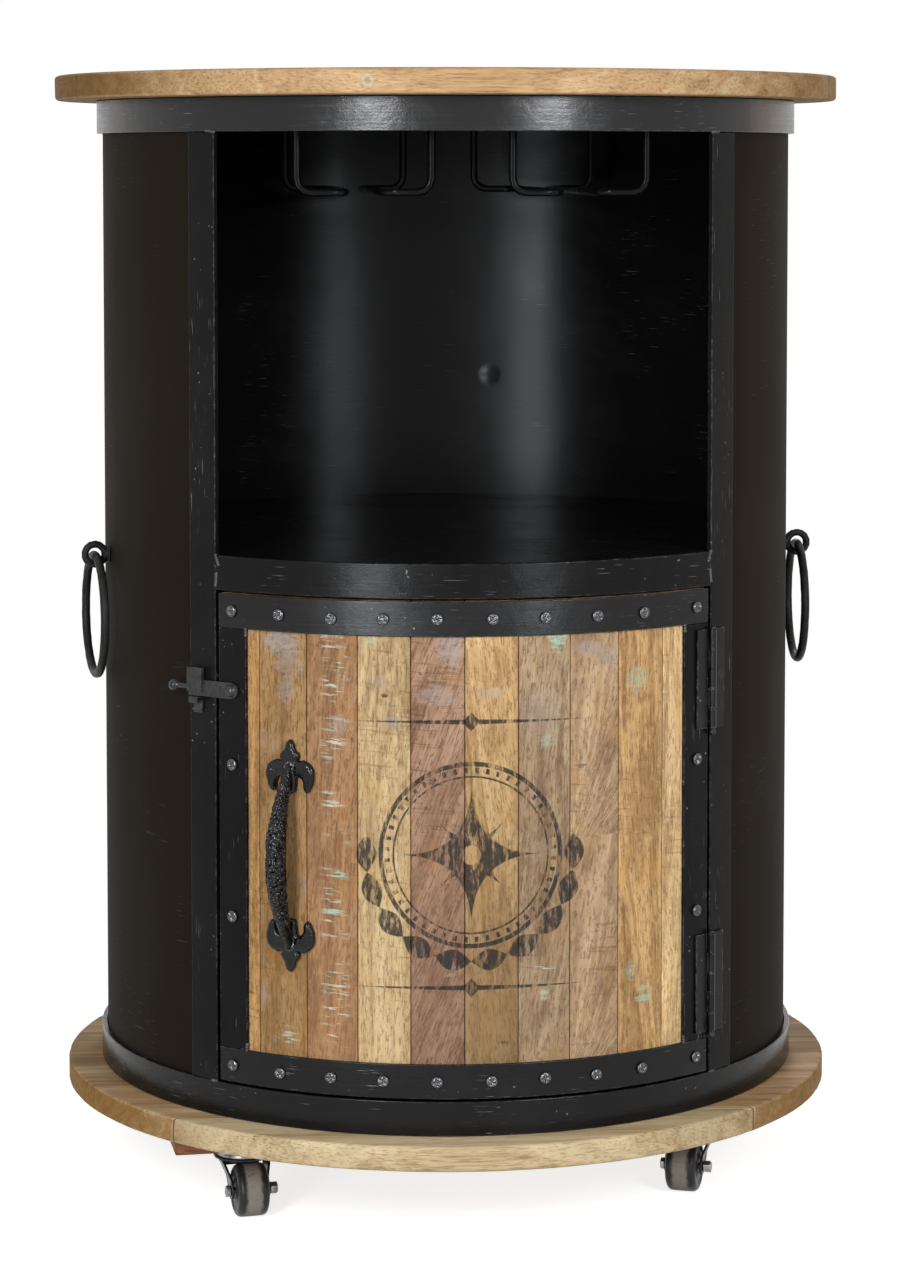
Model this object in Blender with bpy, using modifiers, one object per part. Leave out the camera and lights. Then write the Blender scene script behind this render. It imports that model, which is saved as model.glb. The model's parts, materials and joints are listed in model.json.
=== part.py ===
"""Drum bar cabinet on casters, modelled piece by piece in metres with +Z up.

The origin is on the floor under the middle of the drum, and the front faces -Y.
Angles round the drum are in degrees from the front, positive towards +X.
A piece fixed to the drum's face is modelled facing -Y, then turned to its angle.
"""
import math

import bmesh
import bpy
from mathutils import Matrix, Vector

# Clearances, facets and joins
SEAT_GAP = 0.0003
TURN_GAP = 0.0003
WELD_DISTANCE = 0.00001
DRUM_FACETS = 84
BOARD_FACETS = 72
RING_FACETS = 32
DISC_FACETS = 18
EYE_FACETS = 14
PIN_FACETS = 10
WIRE_FACETS = 8
NUT_SIDES = 6
EDGE_ANGLE = 35.0
PIVOT_DISPLAY = 0.03

# Top and base boards
TOP_OVERHANG = 0.038
TOP_THICKNESS = 0.022
BASE_OVERHANG = 0.031
BASE_THICKNESS = 0.022
BOARD_CHAMFER = 0.002

# Steel drum: bent flat bar frame outside, sheet inside
FRAME_DIAMETER = 0.644
DRUM_HEIGHT = 0.884
BAR_THICKNESS = 0.005
HOOP_WIDTH = 0.030
STILE_WIDTH = 0.031
RAIL_WIDTH = 0.030
OPENING_HALF_ANGLE = 42.0
SHEET_THICKNESS = 0.0015
SHEET_LAP = 0.020
PLATE_THICKNESS = 0.002
SHELF_RISE = 0.490

# Door of upright staves inside a frame of flat strips
DOOR_GAP = 0.002
DOOR_SIDE_GAP = 0.0035
STRIP_WIDTH = 0.030
STRIP_THICKNESS = 0.003
STAVE_COUNT = 10
STAVE_THICKNESS = 0.015
STAVE_JOINT = 0.0005
SEAM_SHIFT = -0.0055

# Door hinges, one pair of leaves and a loose pin each
HINGE_LENGTH = 0.087
HINGE_INSET = 0.0355
KNUCKLE_COUNT = 5
KNUCKLE_GAP = 0.0006
KNUCKLE_WALL = 0.0014
BARREL_LIFT = 0.0003
PIN_DIAMETER = 0.003
PIN_HEAD_DIAMETER = 0.0052
PIN_HEAD_HEIGHT = 0.002
PIN_HEAD_FLAT_SHARE = 0.6
PIN_BALL_DIAMETER = 0.006
LEAF_WIDTH = 0.014
LEAF_THICKNESS = 0.0015
LEAF_EDGE_GAP = 0.0006

# Cast door pull with a fleur at each end
PULL_ANGLE = -28.3
PULL_DROP = 0.009
PULL_LENGTH = 0.200
PULL_BOW = 0.027
PULL_PLATE_THICKNESS = 0.0045
PULL_PLATE_ROUND = 0.0012
FLEUR_TIP = 0.0227
FLEUR_HALF_WIDTH = 0.022
FLEUR_LOBE_DROP = 0.021
GRIP_WIDTH = 0.018
GRIP_DEPTH = 0.010
GRIP_END_SHARE = 0.5
GRIP_STATIONS = 11

# Swing latch on the door's left strip, and its hook on the left stile
LATCH_DROP = 0.084
LATCH_BAR_HEIGHT = 0.014
LATCH_BAR_LENGTH = 0.046
LATCH_BAR_THICKNESS = 0.0025
LATCH_PLATE_WIDTH = 0.016
LATCH_PLATE_HEIGHT = 0.021
LATCH_PLATE_THICKNESS = 0.0025
LATCH_NECK_DIAMETER = 0.005
LATCH_NECK_LENGTH = 0.008
LATCH_NECK_RISE = 0.001
LATCH_BALL_DIAMETER = 0.0105
RIVET_HEAD_DIAMETER = 0.011
RIVET_HEAD_HEIGHT = 0.004
RIVET_DIAMETER = 0.005
LATCH_FALL_ANGLE = 5.0
KEEPER_WIDTH = 0.010
KEEPER_SHEET = 0.002
KEEPER_FOOT = 0.009
KEEPER_PLAY = 0.0008

# Eye bolts and hanging rings at the sides
LEFT_EYE_ANGLE = -79.0
RIGHT_EYE_ANGLE = 89.0
EYE_DROP = 0.018
EYE_PLAY = 0.00175
EYE_WIRE = 0.007
EYE_FACE_GAP = 0.0008
EYE_SHANK_DIAMETER = 0.008
EYE_COLLAR_DIAMETER = 0.016
EYE_COLLAR_THICKNESS = 0.0015
EYE_NUT_DIAMETER = 0.0145
EYE_NUT_THICKNESS = 0.006
RING_DIAMETER = 0.116
RING_WIRE = 0.008
RING_PLAY = 0.0008

# Rails that hold stemmed glasses under the lid
RAIL_ROD_DIAMETER = 0.007
RAIL_DROP = 0.080
RAIL_BEND_RADIUS = 0.012
RAIL_BEND_STEPS = 3
RAIL_FRONT_INSET = 0.077
RAIL_BACK_INSET = 0.117
RAIL_PAIR_OFFSET = 0.093
RAIL_SHIFT = 0.0065
RAIL_LEG_SPACING = 0.116
RAIL_SLOT = 0.024

# Battens under the base
BATTEN_END_INSET = 0.033
BATTEN_WIDTH = 0.060
BATTEN_THICKNESS = 0.020
BATTEN_EDGE_INSET = 0.200
BATTEN_CHAMFER = 0.001
# Each batten's row, its turn in degrees and its shift to the right
BATTENS = {
    "front": (-1, 6.6, 0.011),
    "rear": (1, 0.0, 0.0),
}

# Swivel casters, from the wheel up
CASTER_END_INSET = 0.064
CASTER_TRAIL = 0.025
WHEEL_DIAMETER = 0.046
WHEEL_WIDTH = 0.028
WHEEL_SHOULDER = 0.005
WHEEL_RECESS = 0.003
WHEEL_HUB_DIAMETER = 0.016
WHEEL_TYRE = 0.007
WHEEL_TOP_GAP = 0.0015
WHEEL_SIDE_GAP = 0.0012
AXLE_DIAMETER = 0.006
AXLE_HEAD_DIAMETER = 0.011
AXLE_HEAD_LENGTH = 0.004
AXLE_NUT_LENGTH = 0.007
FORK_SHEET = 0.0022
FORK_CROWN_MARGIN = 0.0014
FORK_CHEEK_TOP = 0.011
FORK_FLARE = 0.0055
FORK_BEND_DROP = 0.016
FORK_WEB_DROP = 0.012
FORK_BOSS_RADIUS = 0.008
FORK_BOSS_START = 165.0
FORK_BOSS_END = 330.0
RACE_DIAMETER = 0.050
RACE_HEIGHT = 0.0055
KING_PIN_DIAMETER = 0.009
KING_PIN_HEAD_DIAMETER = 0.015
KING_PIN_HEAD_HEIGHT = 0.002
CASTER_PLATE_SIZE = 0.054
CASTER_PLATE_THICKNESS = 0.0022
CASTER_PLATE_ROUND = 0.006

# Each caster's batten, side and the way its wheel points, in degrees from the front
CASTERS = {
    "front_left": ("front", -1, 12.0),
    "front_right": ("front", 1, -20.0),
    "rear_left": ("rear", -1, 200.0),
    "rear_right": ("rear", 1, 155.0),
}

# Finishes as colour, roughness and metallic value
BLACK_PAINT = ((0.014, 0.014, 0.015), 0.40, 0.0)
BLACK_CAST = ((0.008, 0.008, 0.009), 0.22, 0.0)
DARK_IRON = ((0.025, 0.024, 0.023), 0.45, 0.8)
ZINC = ((0.42, 0.43, 0.45), 0.38, 1.0)
RUBBER = ((0.035, 0.032, 0.030), 0.70, 0.0)
MANGO = ((0.46, 0.27, 0.12), 0.55, 0.0)
REDDISH_WOOD = ((0.33, 0.14, 0.06), 0.65, 0.0)
STAVE_COLOURS = (
    (0.50, 0.32, 0.16),
    (0.42, 0.22, 0.09),
    (0.30, 0.14, 0.06),
    (0.48, 0.28, 0.11),
    (0.28, 0.12, 0.05),
    (0.46, 0.25, 0.09),
    (0.30, 0.19, 0.09),
    (0.38, 0.23, 0.11),
    (0.44, 0.25, 0.10),
    (0.48, 0.30, 0.14),
)
STAVE_ROUGHNESS = 0.6

# Radii of the boards and of the nested drum pieces
FRAME_RADIUS = FRAME_DIAMETER / 2
TOP_RADIUS = FRAME_RADIUS + TOP_OVERHANG
BASE_RADIUS = FRAME_RADIUS + BASE_OVERHANG
FRAME_INNER = FRAME_RADIUS - BAR_THICKNESS
SHELL_RADIUS = FRAME_INNER - SEAT_GAP
SHELL_INNER = SHELL_RADIUS - SHEET_THICKNESS
PLATE_RADIUS = SHELL_INNER - SEAT_GAP
TONGUE_RADIUS = FRAME_INNER - SEAT_GAP
STAVE_RADIUS = FRAME_RADIUS - STRIP_THICKNESS - SEAT_GAP

# Heights, stacked up from the floor
WHEEL_CENTRE = WHEEL_DIAMETER / 2
CROWN_BOTTOM = WHEEL_DIAMETER + WHEEL_TOP_GAP
CROWN_TOP = CROWN_BOTTOM + FORK_SHEET
RACE_BOTTOM = CROWN_TOP + TURN_GAP
CASTER_PLATE_BOTTOM = RACE_BOTTOM + RACE_HEIGHT
CASTER_PLATE_TOP = CASTER_PLATE_BOTTOM + CASTER_PLATE_THICKNESS
BATTEN_BOTTOM = CASTER_PLATE_TOP + SEAT_GAP
BASE_BOTTOM = BATTEN_BOTTOM + BATTEN_THICKNESS + SEAT_GAP
DRUM_BOTTOM = BASE_BOTTOM + BASE_THICKNESS + SEAT_GAP
DRUM_TOP = DRUM_BOTTOM + DRUM_HEIGHT
TOP_BOTTOM = DRUM_TOP + SEAT_GAP
LID_BOTTOM = DRUM_TOP - PLATE_THICKNESS
SHELF_TOP = DRUM_BOTTOM + SHELF_RISE
DOOR_BOTTOM = DRUM_BOTTOM + HOOP_WIDTH + DOOR_GAP
DOOR_TOP = SHELF_TOP - RAIL_WIDTH - DOOR_GAP
EYE_HEIGHT = SHELF_TOP - EYE_DROP

# Battens and casters, placed from the base board's edge
BATTEN_OFFSET = BASE_RADIUS - BATTEN_EDGE_INSET
BATTEN_OUTER = BATTEN_OFFSET + BATTEN_WIDTH / 2
BATTEN_HALF_LENGTH = math.sqrt(BASE_RADIUS ** 2 - BATTEN_OUTER ** 2) - BATTEN_END_INSET
CASTER_OFFSET = BATTEN_HALF_LENGTH - CASTER_END_INSET
CHEEK_MIDDLE = WHEEL_WIDTH / 2 + WHEEL_SIDE_GAP + FORK_SHEET / 2
CHEEK_TOP_FACE = CHEEK_MIDDLE + FORK_SHEET / 2 + FORK_FLARE
CROWN_RADIUS = math.hypot(CHEEK_TOP_FACE, FORK_CHEEK_TOP) + FORK_CROWN_MARGIN

# Eye bolts sized round the ring's wire
EYE_DIAMETER = RING_WIRE + 2 * EYE_PLAY + 2 * EYE_WIRE
EYE_STANDOFF = EYE_DIAMETER / 2 + EYE_FACE_GAP


def arc_angle(length, radius):
    """Angle in degrees that a length along an arc spans."""
    return math.degrees(length / radius)


# Angles of the door and of what stands beside it
STILE_OUTER_ANGLE = OPENING_HALF_ANGLE + arc_angle(STILE_WIDTH, FRAME_RADIUS)
SHELL_EDGE_ANGLE = STILE_OUTER_ANGLE - arc_angle(SHEET_LAP, FRAME_RADIUS)
DOOR_HALF_ANGLE = OPENING_HALF_ANGLE - arc_angle(DOOR_SIDE_GAP, FRAME_RADIUS)
STRIP_ANGLE = arc_angle(STRIP_WIDTH, FRAME_RADIUS)
HINGE_ANGLE = (OPENING_HALF_ANGLE + DOOR_HALF_ANGLE) / 2
BARREL_DIAMETER = PIN_DIAMETER + 2 * TURN_GAP + 2 * KNUCKLE_WALL
HINGE_RADIUS = FRAME_RADIUS + SEAT_GAP + BARREL_LIFT + BARREL_DIAMETER / 2
LATCH_ANGLE = STRIP_ANGLE / 2 - DOOR_HALF_ANGLE
KEEPER_DISTANCE = LATCH_BAR_LENGTH - LATCH_PLATE_WIDTH / 2
KEEPER_ANGLE = LATCH_ANGLE - math.degrees(math.atan(KEEPER_DISTANCE / FRAME_RADIUS))


def clear_scene():
    """Empty the file of objects."""
    for piece in list(bpy.data.objects):
        bpy.data.objects.remove(piece, do_unlink=True)


def add_collection(name):
    """Collection linked to the scene."""
    collection = bpy.data.collections.new(name)
    bpy.context.scene.collection.children.link(collection)
    return collection


clear_scene()
PARTS = add_collection("drum_bar_cabinet")
CUTTERS = add_collection("drum_bar_cutters")


def drum_point(radius, angle, height=0.0):
    """Point at a radius and angle round the drum."""
    turn = math.radians(angle)
    return Vector((radius * math.sin(turn), -radius * math.cos(turn), height))


def face_matrix(radius, angle, height):
    """Placement that turns a piece facing -Y to stand on the drum at an angle."""
    turn = Matrix.Rotation(math.radians(angle), 4, "Z")
    return Matrix.Translation(drum_point(radius, angle, height)) @ turn


def arc_points(radius, start, end, facets, centre=(0.0, 0.0)):
    """Points on a circle from one angle to another, in degrees from the first axis."""
    steps = max(1, math.ceil(abs(end - start) * facets / 360))
    turns = [math.radians(start + (end - start) * step / steps) for step in range(steps + 1)]
    return [(centre[0] + radius * math.cos(turn), centre[1] + radius * math.sin(turn)) for turn in turns]


def working_object(data):
    """Object that holds a mesh or curve while it is shaped."""
    piece = bpy.data.objects.new("working", data)
    CUTTERS.objects.link(piece)
    return piece


def baked(piece):
    """Plain welded mesh of a working object, which is removed."""
    evaluated = piece.evaluated_get(bpy.context.evaluated_depsgraph_get())
    mesh = bpy.data.meshes.new_from_object(evaluated)
    bpy.data.objects.remove(piece, do_unlink=True)
    shape = bmesh.new()
    shape.from_mesh(mesh)
    bmesh.ops.remove_doubles(shape, verts=shape.verts, dist=WELD_DISTANCE)
    bmesh.ops.dissolve_degenerate(shape, dist=WELD_DISTANCE, edges=shape.edges)
    bmesh.ops.recalc_face_normals(shape, faces=shape.faces)
    shape.to_mesh(mesh)
    shape.free()
    return mesh


def moved(mesh, matrix):
    """The same mesh after a change of place."""
    mesh.transform(matrix)
    return mesh


def combined(base, tool, operation):
    """Mesh of a base joined with a tool, or cut by it."""
    body = working_object(base)
    other = working_object(tool)
    modifier = body.modifiers.new("Boolean", "BOOLEAN")
    modifier.operation = operation
    modifier.object = other
    mesh = baked(body)
    bpy.data.objects.remove(other, do_unlink=True)
    return mesh


def joined(base, *others):
    """One body from several that overlap."""
    for other in others:
        base = combined(base, other, "UNION")
    return base


def cut(base, *cutters):
    """A body with cutters taken out of it."""
    for cutter in cutters:
        base = combined(base, cutter, "DIFFERENCE")
    return base


def primitive(operator, **settings):
    """Mesh made by one of the primitive operators, at the origin."""
    operator(**settings)
    piece = bpy.context.object
    mesh = piece.data
    bpy.data.objects.remove(piece, do_unlink=True)
    return mesh


def block(low, high, chamfer=0.0):
    """Rectangular block between two corners, with its edges eased."""
    low = Vector(low)
    high = Vector(high)
    mesh = primitive(bpy.ops.mesh.primitive_cube_add, size=1.0)
    mesh.transform(Matrix.Translation((low + high) / 2) @ Matrix.Diagonal((high - low).to_4d()))
    piece = working_object(mesh)
    if chamfer:
        bevel = piece.modifiers.new("Bevel", "BEVEL")
        bevel.width = chamfer
        bevel.segments = 1
    return baked(piece)


def rod(diameter, start, end, facets):
    """Straight round bar from one point to another."""
    start = Vector(start)
    along = Vector(end) - start
    mesh = primitive(
        bpy.ops.mesh.primitive_cylinder_add, vertices=facets, radius=diameter / 2, depth=along.length
    )
    turn = along.to_track_quat("Z", "Y").to_matrix().to_4x4()
    return moved(mesh, Matrix.Translation(start + along / 2) @ turn)


def ball(diameter, centre):
    """Small ball."""
    mesh = primitive(
        bpy.ops.mesh.primitive_uv_sphere_add,
        segments=PIN_FACETS,
        ring_count=WIRE_FACETS,
        radius=diameter / 2,
    )
    return moved(mesh, Matrix.Translation(centre))


def torus(diameter, wire, facets):
    """Closed ring of round wire about Z, with its outer diameter given."""
    return primitive(
        bpy.ops.mesh.primitive_torus_add,
        major_radius=(diameter - wire) / 2,
        minor_radius=wire / 2,
        major_segments=facets,
        minor_segments=WIRE_FACETS,
    )


def turned(profile, facets, closed=False):
    """Solid turned about Z from radius and height points that run down its outer side."""
    edges = [(index, index + 1) for index in range(len(profile) - 1)]
    if closed:
        edges.append((len(profile) - 1, 0))
    mesh = bpy.data.meshes.new("profile")
    mesh.from_pydata([(radius, 0.0, height) for radius, height in profile], edges, [])
    piece = working_object(mesh)
    screw = piece.modifiers.new("Screw", "SCREW")
    screw.steps = facets
    screw.render_steps = facets
    screw.use_merge_vertices = True
    screw.merge_threshold = WELD_DISTANCE
    return baked(piece)


def ring_bar(inner, outer, bottom, top):
    """Flat bar rolled into a closed hoop."""
    return turned([(inner, top), (outer, top), (outer, bottom), (inner, bottom)], DRUM_FACETS, closed=True)


def curved_bar(inner, outer, start, end, bottom, top):
    """Flat bar bent round the drum's axis between two angles."""
    bar = bmesh.new()
    corners = [(inner, bottom), (outer, bottom), (outer, top), (inner, top)]
    bar.faces.new([bar.verts.new(drum_point(radius, start, height)) for radius, height in corners])
    bmesh.ops.spin(
        bar,
        geom=bar.verts[:] + bar.edges[:] + bar.faces[:],
        cent=(0.0, 0.0, 0.0),
        axis=(0.0, 0.0, 1.0),
        angle=math.radians(end - start),
        steps=max(1, math.ceil((end - start) * DRUM_FACETS / 360)),
    )
    bmesh.ops.recalc_face_normals(bar, faces=bar.faces)
    mesh = bpy.data.meshes.new("curved_bar")
    bar.to_mesh(mesh)
    bar.free()
    return mesh


def flat_plate(outline, thickness, rounding=0.0, smooth_steps=0):
    """Plate in the XY plane with a closed outline; smooth_steps draws it through the points as a curve."""
    curve = bpy.data.curves.new("outline", "CURVE")
    curve.dimensions = "2D"
    curve.fill_mode = "BOTH"
    curve.extrude = thickness / 2 - rounding
    curve.bevel_depth = rounding
    curve.bevel_resolution = 0
    curve.offset = -rounding
    if smooth_steps:
        spline = curve.splines.new("BEZIER")
        spline.bezier_points.add(len(outline) - 1)
        spline.resolution_u = smooth_steps
        for point, place in zip(spline.bezier_points, outline):
            point.co = (place[0], place[1], 0.0)
            point.handle_left_type = "AUTO"
            point.handle_right_type = "AUTO"
    else:
        spline = curve.splines.new("POLY")
        spline.points.add(len(outline) - 1)
        for point, place in zip(spline.points, outline):
            point.co = (place[0], place[1], 0.0, 1.0)
    spline.use_cyclic_u = True
    return baked(working_object(curve))


def upright(mesh):
    """A plate drawn in XY stood up to face -Y, its outline's second axis along +Z."""
    return moved(mesh, Matrix.Rotation(math.radians(90.0), 4, "X"))


def bent_rod(corners, diameter, bend_radius, bend_steps):
    """Round rod through corner points, bent to a radius at each one between its ends."""
    path = [Vector(corners[0])]
    for before, corner, after in zip(corners, corners[1:], corners[2:]):
        corner = Vector(corner)
        entry = corner + (Vector(before) - corner).normalized() * bend_radius
        leave = corner + (Vector(after) - corner).normalized() * bend_radius
        centre = entry + leave - corner
        for step in range(bend_steps + 1):
            turn = math.radians(90.0 * step / bend_steps)
            path.append(centre + (entry - centre) * math.cos(turn) + (leave - centre) * math.sin(turn))
    path.append(Vector(corners[-1]))
    curve = bpy.data.curves.new("rod", "CURVE")
    curve.dimensions = "3D"
    curve.bevel_depth = diameter / 2
    curve.bevel_resolution = 1
    curve.use_fill_caps = True
    spline = curve.splines.new("POLY")
    spline.points.add(len(path) - 1)
    for point, place in zip(spline.points, path):
        point.co = place.to_4d()
    return baked(working_object(curve))


def finish_material(name, finish):
    """Plain principled material for one piece."""
    colour, roughness, metallic = finish
    material = bpy.data.materials.new(name)
    material.use_nodes = True
    shader = material.node_tree.nodes["Principled BSDF"]
    shader.inputs["Base Color"].default_value = (*colour, 1.0)
    shader.inputs["Roughness"].default_value = roughness
    shader.inputs["Metallic"].default_value = metallic
    material.diffuse_color = (*colour, 1.0)
    return material


def add_piece(name, mesh, finish, pivot, matrix=None):
    """Named sub-part; its place is given in the world, or taken from its pivot if none is."""
    mesh.shade_smooth()
    mesh.set_sharp_from_angle(angle=math.radians(EDGE_ANGLE))
    piece = bpy.data.objects.new(name, mesh)
    PARTS.objects.link(piece)
    piece.parent = pivot
    if matrix is not None:
        bpy.context.view_layer.update()
        piece.matrix_parent_inverse = pivot.matrix_world.inverted()
        piece.matrix_basis = matrix
    piece.data.materials.clear()
    piece.data.materials.append(finish_material(name + "_finish", finish))
    return piece


def add_pivot(name, place, turn=0.0, parent=None):
    """Empty on a joint's axis, which the moving pieces hang from."""
    pivot = bpy.data.objects.new(name, None)
    PARTS.objects.link(pivot)
    pivot.empty_display_size = PIVOT_DISPLAY
    pivot.parent = parent
    pivot.location = place
    pivot.rotation_euler = (0.0, 0.0, math.radians(turn))
    return pivot


def add_cutter(piece, name, mesh, matrix):
    """Live cut in a piece by a hidden wire cutter."""
    cutter = bpy.data.objects.new(name, mesh)
    CUTTERS.objects.link(cutter)
    cutter.matrix_world = matrix
    cutter.hide_render = True
    cutter.display_type = "WIRE"
    modifier = piece.modifiers.new(name, "BOOLEAN")
    modifier.object = cutter


def board(radius, bottom, thickness):
    """Round wooden board with eased edges."""
    top = bottom + thickness
    profile = [
        (0.0, top),
        (radius - BOARD_CHAMFER, top),
        (radius, top - BOARD_CHAMFER),
        (radius, bottom + BOARD_CHAMFER),
        (radius - BOARD_CHAMFER, bottom),
        (0.0, bottom),
    ]
    return turned(profile, BOARD_FACETS)


def drum_plate(bottom):
    """Round sheet inside the shell, with a tongue that reaches the front bars across the opening."""
    tongue = SHELL_EDGE_ANGLE - arc_angle(SEAT_GAP, SHELL_INNER)
    front = -90.0
    outline = arc_points(TONGUE_RADIUS, front - tongue, front + tongue, DRUM_FACETS)
    outline += arc_points(PLATE_RADIUS, front + tongue, front + 360.0 - tongue, DRUM_FACETS)
    plate = flat_plate(outline, PLATE_THICKNESS)
    return moved(plate, Matrix.Translation((0.0, 0.0, bottom + PLATE_THICKNESS / 2)))


def batten_place(name):
    """Placement of a batten's middle on the floor plan."""
    row, turn, shift = BATTENS[name]
    middle = Matrix.Translation((shift, row * BATTEN_OFFSET, 0.0))
    return middle @ Matrix.Rotation(math.radians(turn), 4, "Z")


def make_boards(cabinet):
    """Top and base boards, and the battens that carry the casters."""
    add_piece("top_board", board(TOP_RADIUS, TOP_BOTTOM, TOP_THICKNESS), MANGO, cabinet)
    add_piece("base_board", board(BASE_RADIUS, BASE_BOTTOM, BASE_THICKNESS), MANGO, cabinet)
    low = (-BATTEN_HALF_LENGTH, -BATTEN_WIDTH / 2, BATTEN_BOTTOM)
    high = (BATTEN_HALF_LENGTH, BATTEN_WIDTH / 2, BATTEN_BOTTOM + BATTEN_THICKNESS)
    for name in BATTENS:
        batten = block(low, high, BATTEN_CHAMFER)
        add_piece(f"{name}_batten", batten, REDDISH_WOOD, cabinet, batten_place(name))


def make_drum(cabinet):
    """Hoops, stiles, rail and the sheet shell with its three round plates."""
    for name, bottom in (("bottom_hoop", DRUM_BOTTOM), ("top_hoop", DRUM_TOP - HOOP_WIDTH)):
        hoop = ring_bar(FRAME_INNER, FRAME_RADIUS, bottom, bottom + HOOP_WIDTH)
        add_piece(name, hoop, BLACK_PAINT, cabinet)
    stile_bottom = DRUM_BOTTOM + HOOP_WIDTH + SEAT_GAP
    stile_top = DRUM_TOP - HOOP_WIDTH - SEAT_GAP
    stiles = {
        "left_stile": (-STILE_OUTER_ANGLE, -OPENING_HALF_ANGLE),
        "right_stile": (OPENING_HALF_ANGLE, STILE_OUTER_ANGLE),
    }
    for name, (start, end) in stiles.items():
        stile = curved_bar(FRAME_INNER, FRAME_RADIUS, start, end, stile_bottom, stile_top)
        add_piece(name, stile, BLACK_PAINT, cabinet)
    rail_end = OPENING_HALF_ANGLE - arc_angle(SEAT_GAP, FRAME_INNER)
    rail = curved_bar(FRAME_INNER, FRAME_RADIUS, -rail_end, rail_end, SHELF_TOP - RAIL_WIDTH, SHELF_TOP)
    add_piece("mid_rail", rail, BLACK_PAINT, cabinet)
    plates = {"floor_plate": DRUM_BOTTOM, "shelf": SHELF_TOP - PLATE_THICKNESS, "lid_plate": LID_BOTTOM}
    for name, bottom in plates.items():
        add_piece(name, drum_plate(bottom), BLACK_PAINT, cabinet)
    shell = curved_bar(
        SHELL_INNER, SHELL_RADIUS, SHELL_EDGE_ANGLE, 360.0 - SHELL_EDGE_ANGLE, DRUM_BOTTOM, DRUM_TOP
    )
    return add_piece("drum_shell", shell, BLACK_PAINT, cabinet)


def glass_rail(side, facing):
    """Bent rod: down from the lid, in to the slot, back along it, out and up again."""
    middle = side * RAIL_PAIR_OFFSET + RAIL_SHIFT
    leg = middle + facing * RAIL_LEG_SPACING / 2
    slot = middle + facing * (RAIL_SLOT + RAIL_ROD_DIAMETER) / 2
    top = LID_BOTTOM - SEAT_GAP
    low = LID_BOTTOM - RAIL_DROP
    front = RAIL_FRONT_INSET - FRAME_INNER
    back = FRAME_INNER - RAIL_BACK_INSET
    corners = [
        (leg, front, top),
        (leg, front, low),
        (slot, front, low),
        (slot, back, low),
        (leg, back, low),
        (leg, back, top),
    ]
    return bent_rod(corners, RAIL_ROD_DIAMETER, RAIL_BEND_RADIUS, RAIL_BEND_STEPS)


def make_glass_rails(cabinet):
    """Two pairs of rails, each pair leaving a slot for the stems."""
    rails = [(side, facing) for side in (-1, 1) for facing in (-1, 1)]
    for number, (side, facing) in enumerate(rails, start=1):
        add_piece(f"glass_rail_{number}", glass_rail(side, facing), BLACK_PAINT, cabinet)


def make_door(pivot):
    """Curved staves behind a frame of four flat strips."""
    face = (FRAME_RADIUS - STRIP_THICKNESS, FRAME_RADIUS)
    for name, bottom in (("door_top_strip", DOOR_TOP - STRIP_WIDTH), ("door_bottom_strip", DOOR_BOTTOM)):
        strip = curved_bar(*face, -DOOR_HALF_ANGLE, DOOR_HALF_ANGLE, bottom, bottom + STRIP_WIDTH)
        add_piece(name, strip, BLACK_PAINT, pivot, Matrix())
    side_bottom = DOOR_BOTTOM + STRIP_WIDTH + SEAT_GAP
    side_top = DOOR_TOP - STRIP_WIDTH - SEAT_GAP
    inner_angle = DOOR_HALF_ANGLE - STRIP_ANGLE
    right_strip = curved_bar(*face, inner_angle, DOOR_HALF_ANGLE, side_bottom, side_top)
    add_piece("door_right_strip", right_strip, BLACK_PAINT, pivot, Matrix())
    left_strip = curved_bar(*face, -DOOR_HALF_ANGLE, -inner_angle, side_bottom, side_top)
    left_piece = add_piece("door_left_strip", left_strip, BLACK_PAINT, pivot, Matrix())
    hole_width = RIVET_DIAMETER + 2 * TURN_GAP
    hole = rod(hole_width, (0, -STRIP_THICKNESS, 0), (0, 2 * STRIP_THICKNESS, 0), PIN_FACETS)
    latch_place = face_matrix(FRAME_RADIUS, LATCH_ANGLE, DOOR_TOP - LATCH_DROP)
    add_cutter(left_piece, "rivet_hole_cutter", hole, latch_place)
    make_staves(pivot)


def make_staves(pivot):
    """Upright staves side by side; the outer two run on to the door's edges."""
    middle = arc_angle(SEAM_SHIFT, STAVE_RADIUS)
    pitch = 2 * DOOR_HALF_ANGLE / STAVE_COUNT
    joint = arc_angle(STAVE_JOINT, STAVE_RADIUS - STAVE_THICKNESS)
    seams = [middle + pitch * (index - STAVE_COUNT / 2) for index in range(STAVE_COUNT + 1)]
    seams[0] = -DOOR_HALF_ANGLE - joint / 2
    seams[-1] = DOOR_HALF_ANGLE + joint / 2
    for number, (start, end) in enumerate(zip(seams, seams[1:]), start=1):
        stave = curved_bar(
            STAVE_RADIUS - STAVE_THICKNESS,
            STAVE_RADIUS,
            start + joint / 2,
            end - joint / 2,
            DOOR_BOTTOM,
            DOOR_TOP,
        )
        colour = STAVE_COLOURS[(number - 1) % len(STAVE_COLOURS)]
        add_piece(f"door_stave_{number:02d}", stave, (colour, STAVE_ROUGHNESS, 0.0), pivot, Matrix())


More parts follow.
